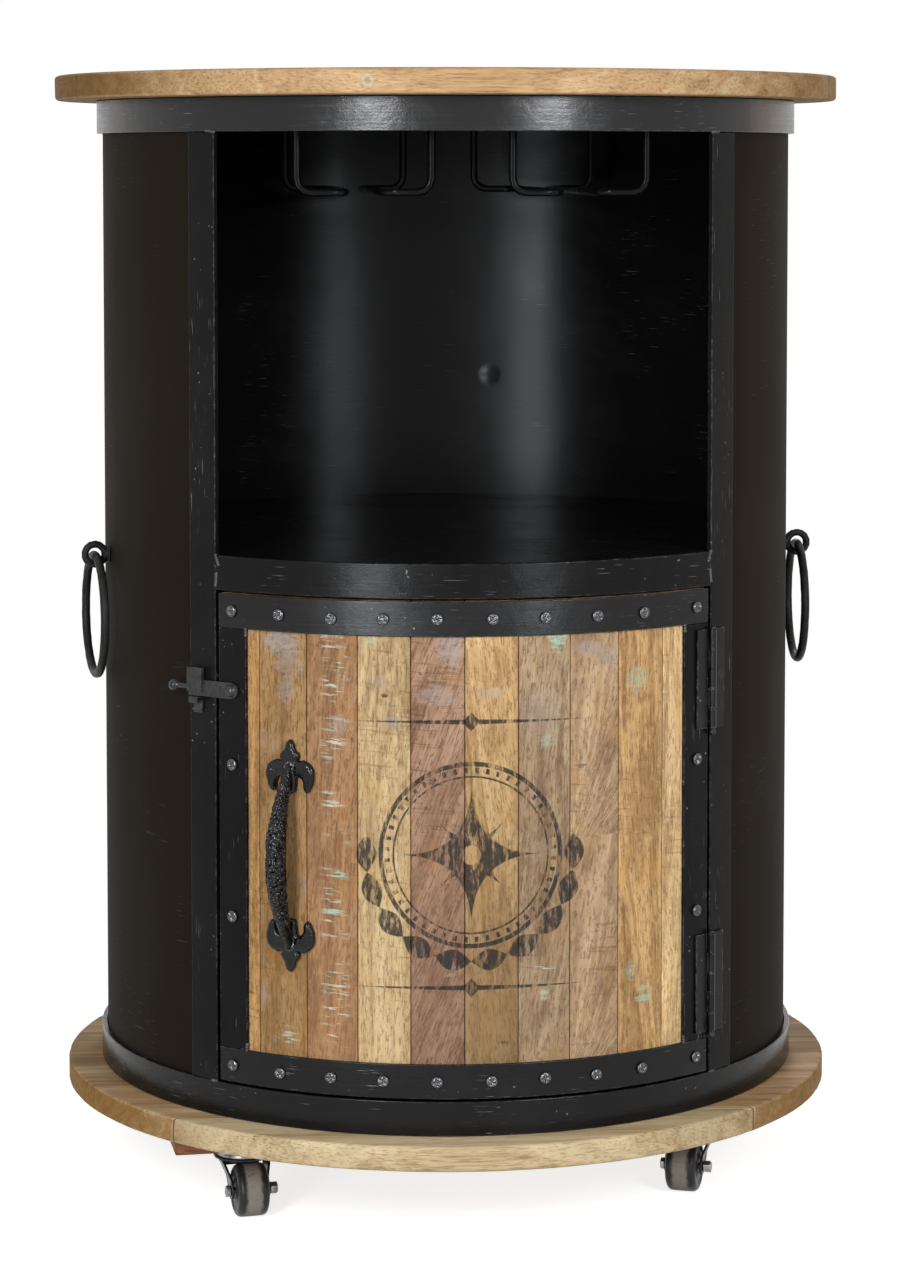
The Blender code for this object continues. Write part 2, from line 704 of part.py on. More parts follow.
def hinge_leaf(side, first_knuckle):
    """Leaf with every second knuckle, its pin axis on Z and its foot at the origin."""
    near = BARREL_DIAMETER / 2 + LEAF_EDGE_GAP
    far = near + LEAF_WIDTH
    pitch = HINGE_LENGTH / KNUCKLE_COUNT
    outline = [(far, 0.0), (near, 0.0)]
    knuckles = []
    for number in range(first_knuckle, KNUCKLE_COUNT, 2):
        low = number * pitch + KNUCKLE_GAP / 2
        high = (number + 1) * pitch - KNUCKLE_GAP / 2
        outline += [(near, low), (0.0, low), (0.0, high), (near, high)]
        knuckles.append(rod(BARREL_DIAMETER, (0, 0, low), (0, 0, high), PIN_FACETS))
    outline += [(near, HINGE_LENGTH), (far, HINGE_LENGTH)]
    leaf = upright(flat_plate([(side * across, height) for across, height in outline], LEAF_THICKNESS))
    back = BARREL_DIAMETER / 2 + BARREL_LIFT
    leaf = joined(moved(leaf, Matrix.Translation((0.0, back - LEAF_THICKNESS / 2, 0.0))), *knuckles)
    bore = rod(PIN_DIAMETER + 2 * TURN_GAP, (0, 0, -HINGE_LENGTH), (0, 0, 2 * HINGE_LENGTH), PIN_FACETS)
    return cut(leaf, bore)


def hinge_pin():
    """Loose pin with a button head and a ball at its foot."""
    radius = PIN_DIAMETER / 2
    head = PIN_HEAD_DIAMETER / 2
    seat = HINGE_LENGTH + SEAT_GAP
    drop = PIN_BALL_DIAMETER / 2
    ball_top = math.degrees(math.acos(radius / drop))
    profile = [
        (0.0, seat + PIN_HEAD_HEIGHT),
        (head * PIN_HEAD_FLAT_SHARE, seat + PIN_HEAD_HEIGHT),
        (head, seat + PIN_HEAD_HEIGHT / 2),
        (head, seat),
        (radius, seat),
    ]
    profile += arc_points(drop, ball_top, -90.0, PIN_FACETS, (0.0, -drop - SEAT_GAP))
    return turned(profile, PIN_FACETS)


def make_hinges(cabinet, pivot):
    """Two hinges on one axis, with the pins fixed in the frame leaves."""
    feet = {"upper": DOOR_TOP - HINGE_INSET - HINGE_LENGTH, "lower": DOOR_BOTTOM + HINGE_INSET}
    for name, foot in feet.items():
        place = face_matrix(HINGE_RADIUS, HINGE_ANGLE, foot)
        add_piece(f"{name}_hinge_frame_leaf", hinge_leaf(1, 0), BLACK_PAINT, cabinet, place)
        add_piece(f"{name}_hinge_door_leaf", hinge_leaf(-1, 1), BLACK_PAINT, pivot, place)
        add_piece(f"{name}_hinge_pin", hinge_pin(), DARK_IRON, cabinet, place)


def fleur_plate():
    """Fleur with a pointed petal and two side lobes that curl back towards the grip."""
    half = FLEUR_HALF_WIDTH
    drop = FLEUR_LOBE_DROP
    right = [
        (0.20 * half, 0.62 * FLEUR_TIP),
        (0.39 * half, 0.36 * FLEUR_TIP),
        (0.25 * half, 0.20 * FLEUR_TIP),
        (0.55 * half, 0.22 * FLEUR_TIP),
        (0.89 * half, 0.03 * FLEUR_TIP),
        (half, -0.30 * drop),
        (0.89 * half, -0.78 * drop),
        (0.70 * half, -drop),
        (0.63 * half, -0.66 * drop),
        (0.47 * half, -0.40 * drop),
        (0.26 * half, -0.42 * drop),
        (0.20 * half, -drop),
    ]
    left = [(-across, along) for across, along in reversed(right)]
    outline = [(0.0, FLEUR_TIP)] + right + left
    return upright(flat_plate(outline, PULL_PLATE_THICKNESS, PULL_PLATE_ROUND, smooth_steps=2))


def pull_grip():
    """Bowed grip, broad in the middle and drawn in at both ends, as a section swept along a curve."""
    section = bpy.data.curves.new("grip_section", "CURVE")
    section.dimensions = "2D"
    outline = section.splines.new("POLY")
    outline.points.add(PIN_FACETS - 1)
    for point, place in zip(outline.points, arc_points(1.0, 0.0, 360.0, PIN_FACETS)):
        point.co = (place[0] * GRIP_DEPTH / 2, place[1] * GRIP_WIDTH / 2, 0.0, 1.0)
    outline.use_cyclic_u = True
    section_object = working_object(section)
    reach = PULL_LENGTH / 2 - FLEUR_TIP
    root = PULL_PLATE_ROUND + GRIP_DEPTH * GRIP_END_SHARE / 2
    curve = bpy.data.curves.new("grip", "CURVE")
    curve.dimensions = "3D"
    curve.bevel_mode = "OBJECT"
    curve.bevel_object = section_object
    curve.use_fill_caps = True
    spline = curve.splines.new("POLY")
    spline.points.add(GRIP_STATIONS - 1)
    for index, point in enumerate(spline.points):
        along = 2 * index / (GRIP_STATIONS - 1) - 1
        swell = 1 - along ** 2
        point.co = (0.0, -root - PULL_BOW * swell, along * reach, 1.0)
        point.radius = GRIP_END_SHARE + (1 - GRIP_END_SHARE) * swell
    grip = baked(working_object(curve))
    bpy.data.objects.remove(section_object, do_unlink=True)
    return grip


def make_pull(pivot):
    """Cast pull screwed to a stave."""
    reach = PULL_LENGTH / 2 - FLEUR_TIP
    upper = moved(fleur_plate(), Matrix.Translation((0.0, -PULL_PLATE_THICKNESS / 2, reach)))
    lower = moved(upper.copy(), Matrix.Rotation(math.pi, 4, "Y"))
    pull = joined(pull_grip(), upper, lower)
    height = (DOOR_BOTTOM + DOOR_TOP) / 2 - PULL_DROP
    place = face_matrix(STAVE_RADIUS + SEAT_GAP, PULL_ANGLE, height)
    add_piece("door_pull", pull, BLACK_CAST, pivot, place)


def latch_bar():
    """Flat bar pointing left from its rivet, with a thicker end plate and a ball knob."""
    half = LATCH_BAR_HEIGHT / 2
    outline = arc_points(half, -90.0, 90.0, DISC_FACETS)
    outline += [(-LATCH_BAR_LENGTH, half), (-LATCH_BAR_LENGTH, -half)]
    bar = upright(flat_plate(outline, LATCH_BAR_THICKNESS))
    bar = moved(bar, Matrix.Translation((0.0, -SEAT_GAP - LATCH_BAR_THICKNESS / 2, 0.0)))
    front = -SEAT_GAP - LATCH_BAR_THICKNESS
    plate_foot = (KEEPER_DISTANCE + KEEPER_WIDTH / 2) * math.sin(math.radians(LATCH_FALL_ANGLE)) - half
    sink = LATCH_BAR_THICKNESS / 2
    plate = block(
        (-LATCH_BAR_LENGTH, front - LATCH_PLATE_THICKNESS, plate_foot),
        (LATCH_PLATE_WIDTH - LATCH_BAR_LENGTH, front + sink, plate_foot + LATCH_PLATE_HEIGHT),
    )
    ball_radius = LATCH_BALL_DIAMETER / 2
    ball_reach = LATCH_BAR_LENGTH + LATCH_NECK_LENGTH + ball_radius
    centre = Vector((-ball_reach, -2 * SEAT_GAP - ball_radius, LATCH_NECK_RISE))
    root = Vector((LATCH_PLATE_WIDTH / 2 - LATCH_BAR_LENGTH, front, LATCH_NECK_RISE))
    neck = rod(LATCH_NECK_DIAMETER, root, centre, PIN_FACETS)
    reach = STRIP_THICKNESS - 2 * TURN_GAP
    shank = rod(RIVET_DIAMETER, (0, reach, 0), (0, front - RIVET_HEAD_HEIGHT / 2, 0), PIN_FACETS)
    dome = arc_points(1.0, 90.0, 0.0, PIN_FACETS)
    profile = [(RIVET_HEAD_DIAMETER / 2 * across, RIVET_HEAD_HEIGHT * rise) for across, rise in dome]
    profile += [(RIVET_HEAD_DIAMETER / 2, -sink), (0.0, -sink)]
    profile[0] = (0.0, RIVET_HEAD_HEIGHT)
    head = moved(
        turned(profile, PIN_FACETS),
        Matrix.Translation((0.0, front, 0.0)) @ Matrix.Rotation(math.radians(90.0), 4, "X"),
    )
    return joined(bar, plate, neck, ball(LATCH_BALL_DIAMETER, centre), head, shank)


def latch_keeper():
    """Hook on the stile that the fallen bar drops behind, drawn from the side and stood up."""
    fall = KEEPER_DISTANCE * math.sin(math.radians(LATCH_FALL_ANGLE))
    half = LATCH_BAR_HEIGHT / 2
    ledge = -half - fall - KEEPER_PLAY
    lip = -half - KEEPER_PLAY
    far_edge = KEEPER_DISTANCE + KEEPER_WIDTH / 2
    curve_drop = far_edge ** 2 / (2 * FRAME_RADIUS)
    lip_inner = SEAT_GAP + LATCH_BAR_THICKNESS + curve_drop + KEEPER_PLAY
    outline = [
        (SEAT_GAP, ledge),
        (lip_inner, ledge),
        (lip_inner, lip),
        (lip_inner + KEEPER_SHEET, lip),
        (lip_inner + KEEPER_SHEET, ledge - KEEPER_SHEET),
        (SEAT_GAP + KEEPER_SHEET, ledge - KEEPER_SHEET),
        (SEAT_GAP + KEEPER_SHEET, ledge - KEEPER_SHEET - KEEPER_FOOT),
        (SEAT_GAP, ledge - KEEPER_SHEET - KEEPER_FOOT),
    ]
    hook = upright(flat_plate(outline, KEEPER_WIDTH))
    return moved(hook, Matrix.Rotation(math.radians(-90.0), 4, "Z"))


def make_latch(cabinet, pivot):
    """Latch bar on its own pivot and the fixed hook beside it."""
    height = DOOR_TOP - LATCH_DROP
    place = face_matrix(FRAME_RADIUS, LATCH_ANGLE, height)
    latch_pivot = add_pivot("latch_pivot", place.translation - pivot.location, LATCH_ANGLE, pivot)
    add_piece("latch_bar", latch_bar(), BLACK_PAINT, latch_pivot)
    keeper_place = face_matrix(FRAME_RADIUS, KEEPER_ANGLE, height)
    add_piece("latch_keeper", latch_keeper(), BLACK_PAINT, cabinet, keeper_place)


def eye_bolt():
    """Forged eye whose shank passes the sheet to a nut inside; the sheet's face is at the origin."""
    eye = moved(
        torus(EYE_DIAMETER, EYE_WIRE, EYE_FACETS),
        Matrix.Translation((0.0, -EYE_STANDOFF, 0.0)) @ Matrix.Rotation(math.radians(90.0), 4, "Y"),
    )
    wire_middle = EYE_STANDOFF - (EYE_DIAMETER - EYE_WIRE) / 2
    nut_face = SHEET_THICKNESS + SEAT_GAP
    nut_end = nut_face + EYE_NUT_THICKNESS
    shank = rod(EYE_SHANK_DIAMETER, (0, nut_end + SHEET_THICKNESS, 0), (0, -wire_middle, 0), PIN_FACETS)
    collar_face = -SEAT_GAP - EYE_COLLAR_THICKNESS
    collar = rod(EYE_COLLAR_DIAMETER, (0, -SEAT_GAP, 0), (0, collar_face, 0), PIN_FACETS)
    nut = rod(EYE_NUT_DIAMETER, (0, nut_end, 0), (0, nut_face, 0), NUT_SIDES)
    return joined(shank, collar, nut, eye)


def hanging_ring():
    """Ring hanging from the middle of its wire at the origin."""
    ring = torus(RING_DIAMETER, RING_WIRE, RING_FACETS)
    drop = (RING_DIAMETER - RING_WIRE) / 2
    return moved(
        ring, Matrix.Translation((0.0, 0.0, -drop)) @ Matrix.Rotation(math.radians(90.0), 4, "X")
    )


def make_rings(cabinet, shell):
    """Eye bolt through the sheet at each side, with a ring that swings in it."""
    eye_hole = EYE_DIAMETER / 2 - EYE_WIRE
    sag = eye_hole - RING_WIRE / 2 - RING_PLAY
    hole_width = EYE_SHANK_DIAMETER + 2 * SEAT_GAP
    for name, angle in (("left", LEFT_EYE_ANGLE), ("right", RIGHT_EYE_ANGLE)):
        place = face_matrix(SHELL_RADIUS, angle, EYE_HEIGHT)
        add_piece(f"{name}_eye_bolt", eye_bolt(), DARK_IRON, cabinet, place)
        hole = rod(hole_width, (0, -hole_width, 0), (0, hole_width, 0), PIN_FACETS)
        add_cutter(shell, f"{name}_eye_hole_cutter", hole, place)
        hang = drum_point(SHELL_RADIUS + EYE_STANDOFF, angle, EYE_HEIGHT - sag)
        swing = add_pivot(f"{name}_ring_swing", hang, angle, cabinet)
        add_piece(f"{name}_ring", hanging_ring(), DARK_IRON, swing)


def caster_plate():
    """Fixed plate with the pressed ball race and the headed king pin under it; heights from the floor."""
    half = CASTER_PLATE_SIZE / 2
    inset = half - CASTER_PLATE_ROUND
    outline = []
    for quarter, (across, along) in enumerate([(1, 1), (-1, 1), (-1, -1), (1, -1)]):
        start = 90.0 * quarter
        corner = (across * inset, along * inset)
        outline += arc_points(CASTER_PLATE_ROUND, start, start + 90.0, PIN_FACETS, corner)
    plate = flat_plate(outline, CASTER_PLATE_THICKNESS)
    plate = moved(plate, Matrix.Translation((0.0, 0.0, CASTER_PLATE_TOP - CASTER_PLATE_THICKNESS / 2)))
    race = RACE_DIAMETER / 2
    pin = KING_PIN_DIAMETER / 2
    head = KING_PIN_HEAD_DIAMETER / 2
    head_top = CROWN_BOTTOM - TURN_GAP
    sunk = CASTER_PLATE_TOP - CASTER_PLATE_THICKNESS / 2
    profile = [
        (0.0, sunk),
        (race - RACE_HEIGHT / 2, sunk),
        (race - RACE_HEIGHT / 2, CASTER_PLATE_BOTTOM),
        (race, CASTER_PLATE_BOTTOM - RACE_HEIGHT / 2),
        (race, RACE_BOTTOM),
        (pin, RACE_BOTTOM),
        (pin, head_top),
        (head, head_top),
        (head, head_top - KING_PIN_HEAD_HEIGHT),
        (0.0, head_top - KING_PIN_HEAD_HEIGHT),
    ]
    return joined(plate, turned(profile, DISC_FACETS))


def fork_cheek(side):
    """Tapered cheek plate that bends outward above the wheel's bolt."""
    boss = (-CASTER_TRAIL, WHEEL_CENTRE)
    root = CROWN_TOP - FORK_SHEET / 2
    outline = [(FORK_CHEEK_TOP, root), (-FORK_CHEEK_TOP, root)]
    outline += arc_points(FORK_BOSS_RADIUS, FORK_BOSS_START, FORK_BOSS_END, PIN_FACETS, boss)
    cheek = upright(flat_plate(outline, FORK_SHEET))
    cheek.transform(Matrix.Rotation(math.radians(90.0), 4, "Z"))
    shape = bmesh.new()
    shape.from_mesh(cheek)
    geometry = [*shape.verts, *shape.edges, *shape.faces]
    bend = root - FORK_BEND_DROP
    bmesh.ops.bisect_plane(shape, geom=geometry, plane_co=(0.0, 0.0, bend), plane_no=(0.0, 0.0, 1.0))
    for vertex in shape.verts:
        vertex.co.x += side * (CHEEK_MIDDLE + FORK_FLARE * max(0.0, vertex.co.z - bend) / FORK_BEND_DROP)
    shape.to_mesh(cheek)
    shape.free()
    return cheek


def caster_fork():
    """Round crown, back web and two cheeks, with the swivel axis on Z and the wheel towards -Y."""
    crown = rod(2 * CROWN_RADIUS, (0, 0, CROWN_BOTTOM), (0, 0, CROWN_TOP), DISC_FACETS)
    root = CROWN_TOP - FORK_SHEET / 2
    web = block(
        (-CHEEK_MIDDLE, FORK_CHEEK_TOP - FORK_SHEET, root - FORK_WEB_DROP),
        (CHEEK_MIDDLE, FORK_CHEEK_TOP, root),
    )
    cheeks = [fork_cheek(side) for side in (-1, 1)]
    reach = 2 * CROWN_RADIUS
    king_hole = rod(KING_PIN_DIAMETER + 2 * TURN_GAP, (0, 0, 0), (0, 0, CROWN_TOP + reach), PIN_FACETS)
    axle_hole = rod(
        AXLE_DIAMETER + 2 * SEAT_GAP,
        (-reach, -CASTER_TRAIL, WHEEL_CENTRE),
        (reach, -CASTER_TRAIL, WHEEL_CENTRE),
        PIN_FACETS,
    )
    return cut(joined(crown, web, *cheeks), king_hole, axle_hole)


def caster_wheel():
    """Broad wheel with rounded shoulders and a recess round the hub on each face, turned about X."""
    half = WHEEL_WIDTH / 2
    bore = AXLE_DIAMETER / 2 + TURN_GAP
    hub = WHEEL_HUB_DIAMETER / 2
    tread = WHEEL_DIAMETER / 2
    rim = tread - WHEEL_TYRE
    corner = (tread - WHEEL_SHOULDER, half - WHEEL_SHOULDER)
    upper = [(bore, half), (hub, half), (hub, half - WHEEL_RECESS), (rim, half)]
    upper += arc_points(WHEEL_SHOULDER, 90.0, 0.0, WIRE_FACETS, corner)
    lower = [(radius, -height) for radius, height in reversed(upper)]
    wheel = turned(upper + lower, DISC_FACETS, closed=True)
    return moved(wheel, Matrix.Rotation(math.radians(90.0), 4, "Y"))


def caster_axle():
    """Axle bolt across the fork with a hexagon head on one side and a longer nut on the other."""
    outer = CHEEK_MIDDLE + FORK_SHEET / 2 + SEAT_GAP
    reach = outer + AXLE_HEAD_LENGTH / 2
    shank = rod(AXLE_DIAMETER, (-reach, 0, 0), (reach, 0, 0), PIN_FACETS)
    head = rod(AXLE_HEAD_DIAMETER, (-outer, 0, 0), (-outer - AXLE_HEAD_LENGTH, 0, 0), NUT_SIDES)
    nut = rod(AXLE_HEAD_DIAMETER, (outer, 0, 0), (outer + AXLE_NUT_LENGTH, 0, 0), NUT_SIDES)
    return moved(joined(shank, head, nut), Matrix.Translation((0.0, -CASTER_TRAIL, WHEEL_CENTRE)))


def make_casters(cabinet):
    """Four swivel casters; each piece of a kind shares its shape."""
    plate = caster_plate()
    fork = caster_fork()
    wheel = caster_wheel()
    axle = caster_axle()
    for corner, (batten, side, heading) in CASTERS.items():
        place = batten_place(batten) @ Matrix.Translation((side * CASTER_OFFSET, 0.0, 0.0))
        add_piece(f"caster_plate_{corner}", plate.copy(), ZINC, cabinet, place)
        swivel = add_pivot(f"swivel_{corner}", place.translation, heading, cabinet)
        add_piece(f"caster_fork_{corner}", fork.copy(), DARK_IRON, swivel)
        add_piece(f"caster_axle_{corner}", axle.copy(), ZINC, swivel)
        spin = add_pivot(f"spin_{corner}", (0.0, -CASTER_TRAIL, WHEEL_CENTRE), 0.0, swivel)
        add_piece(f"caster_wheel_{corner}", wheel.copy(), RUBBER, spin)


def make_cabinet():
    """Build every piece, then hang the moving ones from their pivots."""
    cabinet = add_pivot("cabinet", (0.0, 0.0, 0.0))
    make_boards(cabinet)
    shell = make_drum(cabinet)
    make_glass_rails(cabinet)
    door_hinge = add_pivot("door_hinge", drum_point(HINGE_RADIUS, HINGE_ANGLE, DOOR_BOTTOM), 0.0, cabinet)
    make_door(door_hinge)
    make_hinges(cabinet, door_hinge)
    make_pull(door_hinge)
    make_latch(cabinet, door_hinge)
    make_rings(cabinet, shell)
    make_casters(cabinet)


make_cabinet()
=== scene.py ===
"""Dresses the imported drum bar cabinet: finishes, softened edges, screws, welds and a small studio."""

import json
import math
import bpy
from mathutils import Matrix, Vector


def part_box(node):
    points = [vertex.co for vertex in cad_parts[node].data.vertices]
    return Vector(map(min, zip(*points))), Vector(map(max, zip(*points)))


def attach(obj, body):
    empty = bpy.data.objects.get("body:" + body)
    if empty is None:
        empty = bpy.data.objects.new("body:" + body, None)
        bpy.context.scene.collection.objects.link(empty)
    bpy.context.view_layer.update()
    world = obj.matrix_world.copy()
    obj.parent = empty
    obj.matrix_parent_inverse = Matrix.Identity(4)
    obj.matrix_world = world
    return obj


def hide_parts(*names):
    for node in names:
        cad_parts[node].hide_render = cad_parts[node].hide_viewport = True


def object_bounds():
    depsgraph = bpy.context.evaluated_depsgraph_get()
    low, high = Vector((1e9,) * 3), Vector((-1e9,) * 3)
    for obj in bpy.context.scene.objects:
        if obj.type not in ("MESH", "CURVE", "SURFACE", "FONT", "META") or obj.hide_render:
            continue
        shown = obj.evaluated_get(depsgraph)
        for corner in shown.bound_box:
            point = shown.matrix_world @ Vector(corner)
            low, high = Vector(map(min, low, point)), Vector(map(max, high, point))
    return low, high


bl_info = {
    "name": "Drum Bar Cabinet Looks",
    "version": (1, 0, 0),
    "blender": (4, 5, 0),
    "location": "3D View > Sidebar > Cabinet",
    "description": "Dresses the packed drum bar cabinet with finishes, fasteners and a studio",
    "category": "Object",
}

from typing import NamedTuple

import bmesh
import bpy
import numpy as np
from bpy.props import FloatProperty, FloatVectorProperty, PointerProperty
from mathutils import Matrix, Vector, noise

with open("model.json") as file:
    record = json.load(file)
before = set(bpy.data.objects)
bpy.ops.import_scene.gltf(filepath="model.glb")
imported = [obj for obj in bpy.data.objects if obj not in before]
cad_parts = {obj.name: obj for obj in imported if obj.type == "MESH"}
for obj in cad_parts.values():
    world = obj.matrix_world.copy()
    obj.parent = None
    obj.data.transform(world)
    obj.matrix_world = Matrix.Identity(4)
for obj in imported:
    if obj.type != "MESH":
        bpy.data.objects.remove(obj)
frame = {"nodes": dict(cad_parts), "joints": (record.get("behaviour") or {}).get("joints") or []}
NODES = frame["nodes"]
JOINTS = {joint["name"]: joint for joint in frame["joints"]}
CAD_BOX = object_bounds()

CORNERS = ("front_left", "front_right", "rear_left", "rear_right")
DRUM_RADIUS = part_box("top_hoop")[1].x
DOOR_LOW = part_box("door_bottom_strip")[0].z
DOOR_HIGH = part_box("door_top_strip")[1].z
STRIP_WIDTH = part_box("door_bottom_strip")[1].z - DOOR_LOW
STILES = ("left_stile", "right_stile")
INSIDE = ("floor_plate", "shelf", "lid_plate")
HINGE_LEAVES = [f"{place}_hinge_{leaf}_leaf" for place in ("upper", "lower") for leaf in ("frame", "door")]
HINGE_PINS = ("upper_hinge_pin", "lower_hinge_pin")
GLASS_RAILS = [f"glass_rail_{number}" for number in range(1, 5)]

# Mirror strength of the flat black paint, the drum's sheet and the wood, where 0.5 is plain lacquer
PAINT_GLOSS = 0.10
SHELL_GLOSS = 0.11
WOOD_GLOSS = 0.15
# Mirror strength of the bars round the drum; the upper one is the most polished
HOOPS = {"top_hoop": 0.36, "mid_rail": 0.13, "bottom_hoop": 0.20}
# Run and mirror strength of the door strips
STRIPS = {
    "door_top_strip": ("round", 0.27),
    "door_bottom_strip": ("round", 0.22),
    "door_left_strip": ("up", PAINT_GLOSS),
    "door_right_strip": ("up", PAINT_GLOSS),
}
# Lines between the planks of the boards, from the front
TOP_SEAMS = (-0.130, 0.010, 0.140, 0.255)
BASE_SEAMS = (-0.245, -0.060, 0.062, 0.190, 0.300)
# Heights of the screws in the door's side strips, as shares of the door
SIDE_SCREWS = (0.342, 0.652)
# Share of the pull's half height that its grip swells over
BELLY_REACH = 0.72
# Depth of the dished sides of the wheels
WHEEL_DISH = 0.0012
# Points of the frame's meshes that are nearer than this are one
SAME_POINT = 1e-5
# Least turn of an edge that is rounded, in degrees: flat pieces, casters, round bar
SHARP_TURN = 40.0
CASTER_TURN = 50.0
ROUND_TURN = 60.0
# Steps round the boards, the wheels, the screw heads, the weld domes, the rings and the rings' bar
BOARD_STEPS = 288
WHEEL_STEPS = 64
SCREW_STEPS = 32
BEAD_STEPS = 12
RING_STEPS = 112
WIRE_STEPS = 16
SENSOR_WIDTH = 36.0
# Wood of the door's staves from the left
STAVE_WOODS = (
    (0.473, 0.255, 0.1),
    (0.303, 0.168, 0.068),
    (0.322, 0.171, 0.082),
    (0.473, 0.321, 0.167),
    (0.326, 0.186, 0.117),
    (0.527, 0.323, 0.149),
    (0.367, 0.245, 0.147),
    (0.441, 0.284, 0.167),
    (0.546, 0.325, 0.146),
    (0.701, 0.46, 0.235),
)
STAVES = range(1, len(STAVE_WOODS) + 1)


def length(name, description, default):
    """Property for a length in metres."""
    return FloatProperty(name=name, description=description, default=default, unit="LENGTH", precision=5)


def power(name, description, default):
    """Property for a lamp's power in watts."""
    return FloatProperty(name=name, description=description, default=default, unit="POWER")


def angle(name, description, degrees):
    """Property for an angle, given in degrees."""
    return FloatProperty(name=name, description=description, default=math.radians(degrees), subtype="ANGLE")


def tint(name, description, default):
    """Property for a colour in linear light."""
    return FloatVectorProperty(
        name=name, description=description, default=default, subtype="COLOR", size=3, min=0.0, max=1.0
    )


class CabinetSizes(bpy.types.PropertyGroup):
    """Sizes of what is added to the frame."""

    steel_edge: length("Steel edge", "Round of the edges of flat bar and sheet", 0.0009)
    wood_edge: length("Wood edge", "Round of the edges of staves and battens", 0.0010)
    board_edge: length("Board edge", "Round of the edges of the top and base boards", 0.0030)
    board_dent: length("Board dents", "Deepest dent in the rim of the boards", 0.0007)
    knot_side: length("Knot side", "Place of the knot in the top board's rim, left of the middle", 0.0883)
    knot_radius: length("Knot radius", "Radius of that knot", 0.0075)
    screw_head: length("Screw head", "Diameter of the screw heads in the strips", 0.0106)
    screw_rise: length("Screw rise", "Height of the screw heads in the strips and the pull", 0.0034)
    pull_screw: length("Pull screw", "Diameter of the domed screws of the pull", 0.0105)
    pull_screw_inset: length("Pull screw inset", "Distance of those screws from the tips of the pull", 0.0227)
    sheet_middle: length("Sheet middle", "Radius of the middle of the drum's sheet", 0.31595)
    dent_side: length("Dent side", "Place of the dent in the back wall, right of the axis", 0.066)
    dent_height: length("Dent height", "Height of the dent above the floor", 0.7125)
    dent_radius: length("Dent radius", "Radius of the dent", 0.013)
    flat_side: length("Flat side", "Place of the flatter stretch of the back wall, right of the axis", 0.020)
    flat_reach: length("Flat reach", "Half width of the flatter stretch", 0.150)
    flat_depth: length("Flat depth", "How far the flatter stretch leaves the circle", 0.0159)
    foot_top: length("Foot top", "Height where the back wall starts to lean inward", 0.80)
    foot_tall: length("Foot height", "Height of the leaning stretch", 0.23)
    foot_depth: length("Foot depth", "How far the foot of the back wall leans inward", 0.0075)
    weld_width: length("Weld width", "Width of the weld beads", 0.0036)
    weld_rise: length("Weld rise", "Height of the weld beads above the steel", 0.0010)
    hammer_depth: length("Hammer depth", "Depth of the hammer marks in cast and forged pieces", 0.0004)
    cast_swell: length("Cast swell", "Growth of the pull's skin after its edges melt", 0.0013)
    grip_swell: length("Grip swell", "Further growth of the pull's grip at its middle", 0.0024)
    tread_round: length("Tread round", "Round of the wheel's tread edges", 0.0050)
    ornament_radius: length("Ornament radius", "Radius of the printed ring on the door", 0.078)
    ornament_height: length("Ornament height", "Height of the printed ring's centre", 0.342)


class CabinetColours(bpy.types.PropertyGroup):
    """Colours of the finishes."""

    paint: tint("Black paint", "Paint of the steel", (0.0045, 0.0042, 0.0042))
    # Brownish outside colour of the sheet: a painted warm reflection that stands in for warm light on the
    # drum's sides
    shell_paint: tint("Shell paint", "Brownish paint outside the drum's sheet", (0.0085, 0.005, 0.002))
    paint_dust: tint("Paint dust", "Dusty and rubbed patches of the paint", (0.0125, 0.0115, 0.0105))
    bare_steel: tint("Bare steel", "Steel where paint is rubbed through", (0.28, 0.28, 0.285))
    iron: tint("Forged iron", "Rings, eye bolts, latch and hinge pins", (0.020, 0.019, 0.018))
    casting: tint("Casting", "Paint of the pull", (0.006, 0.006, 0.006))
    zinc: tint("Zinc", "Plated caster plates and bolts", (0.27, 0.27, 0.28))
    fork_steel: tint("Fork steel", "Blackened caster forks", (0.030, 0.033, 0.040))
    rubber: tint("Wheel rubber", "Body of the wheels", (0.014, 0.013, 0.013))
    dust: tint("Tread dust", "Dust worn into the treads", (0.26, 0.225, 0.19))
    screw: tint("Screws", "Steel of the screws", (0.1, 0.1, 0.104))
    # Dirt on plated metal; on the screw heads the same colour, made darker, is painted shade round their foot
    grime_and_shade: tint("Grime", "Patches of dirt on bare metal", (0.030, 0.028, 0.026))
    board_pale: tint("Pale plank", "Palest planks of the boards", (0.62, 0.465, 0.27))
    board_tan: tint("Tan plank", "Middling planks of the boards", (0.57, 0.345, 0.17))
    board_brown: tint("Brown plank", "Darkest planks of the boards", (0.36, 0.215, 0.09))
    board_end: tint("End grain", "End grain at the sides of the boards", (0.23, 0.11, 0.02))
    board_chip: tint("Knot filler", "Pale filler in the knot of the rim", (0.80, 0.72, 0.58))
    batten: tint("Battens", "Wood of the battens", (0.26, 0.095, 0.034))
    ink: tint("Ink", "Worn print on the door", (0.020, 0.019, 0.020))
    crack: tint("Cracks", "Small knots and cracks of the staves", (0.055, 0.032, 0.018))
    chip_white: tint("White chips", "Old white paint left in the staves", (0.62, 0.58, 0.46))
    chip_teal: tint("Teal chips", "Old teal paint left in the staves", (0.4, 0.56, 0.42))
    old_grey: tint("Grey film", "Worn grey paint film on some staves", (0.38, 0.325, 0.29))


for number, wood in enumerate(STAVE_WOODS, 1):
    stave_tint = tint(f"Stave {number}", "Wood of this stave, counted from the left", wood)
    CabinetColours.__annotations__[f"stave_{number:02d}"] = stave_tint


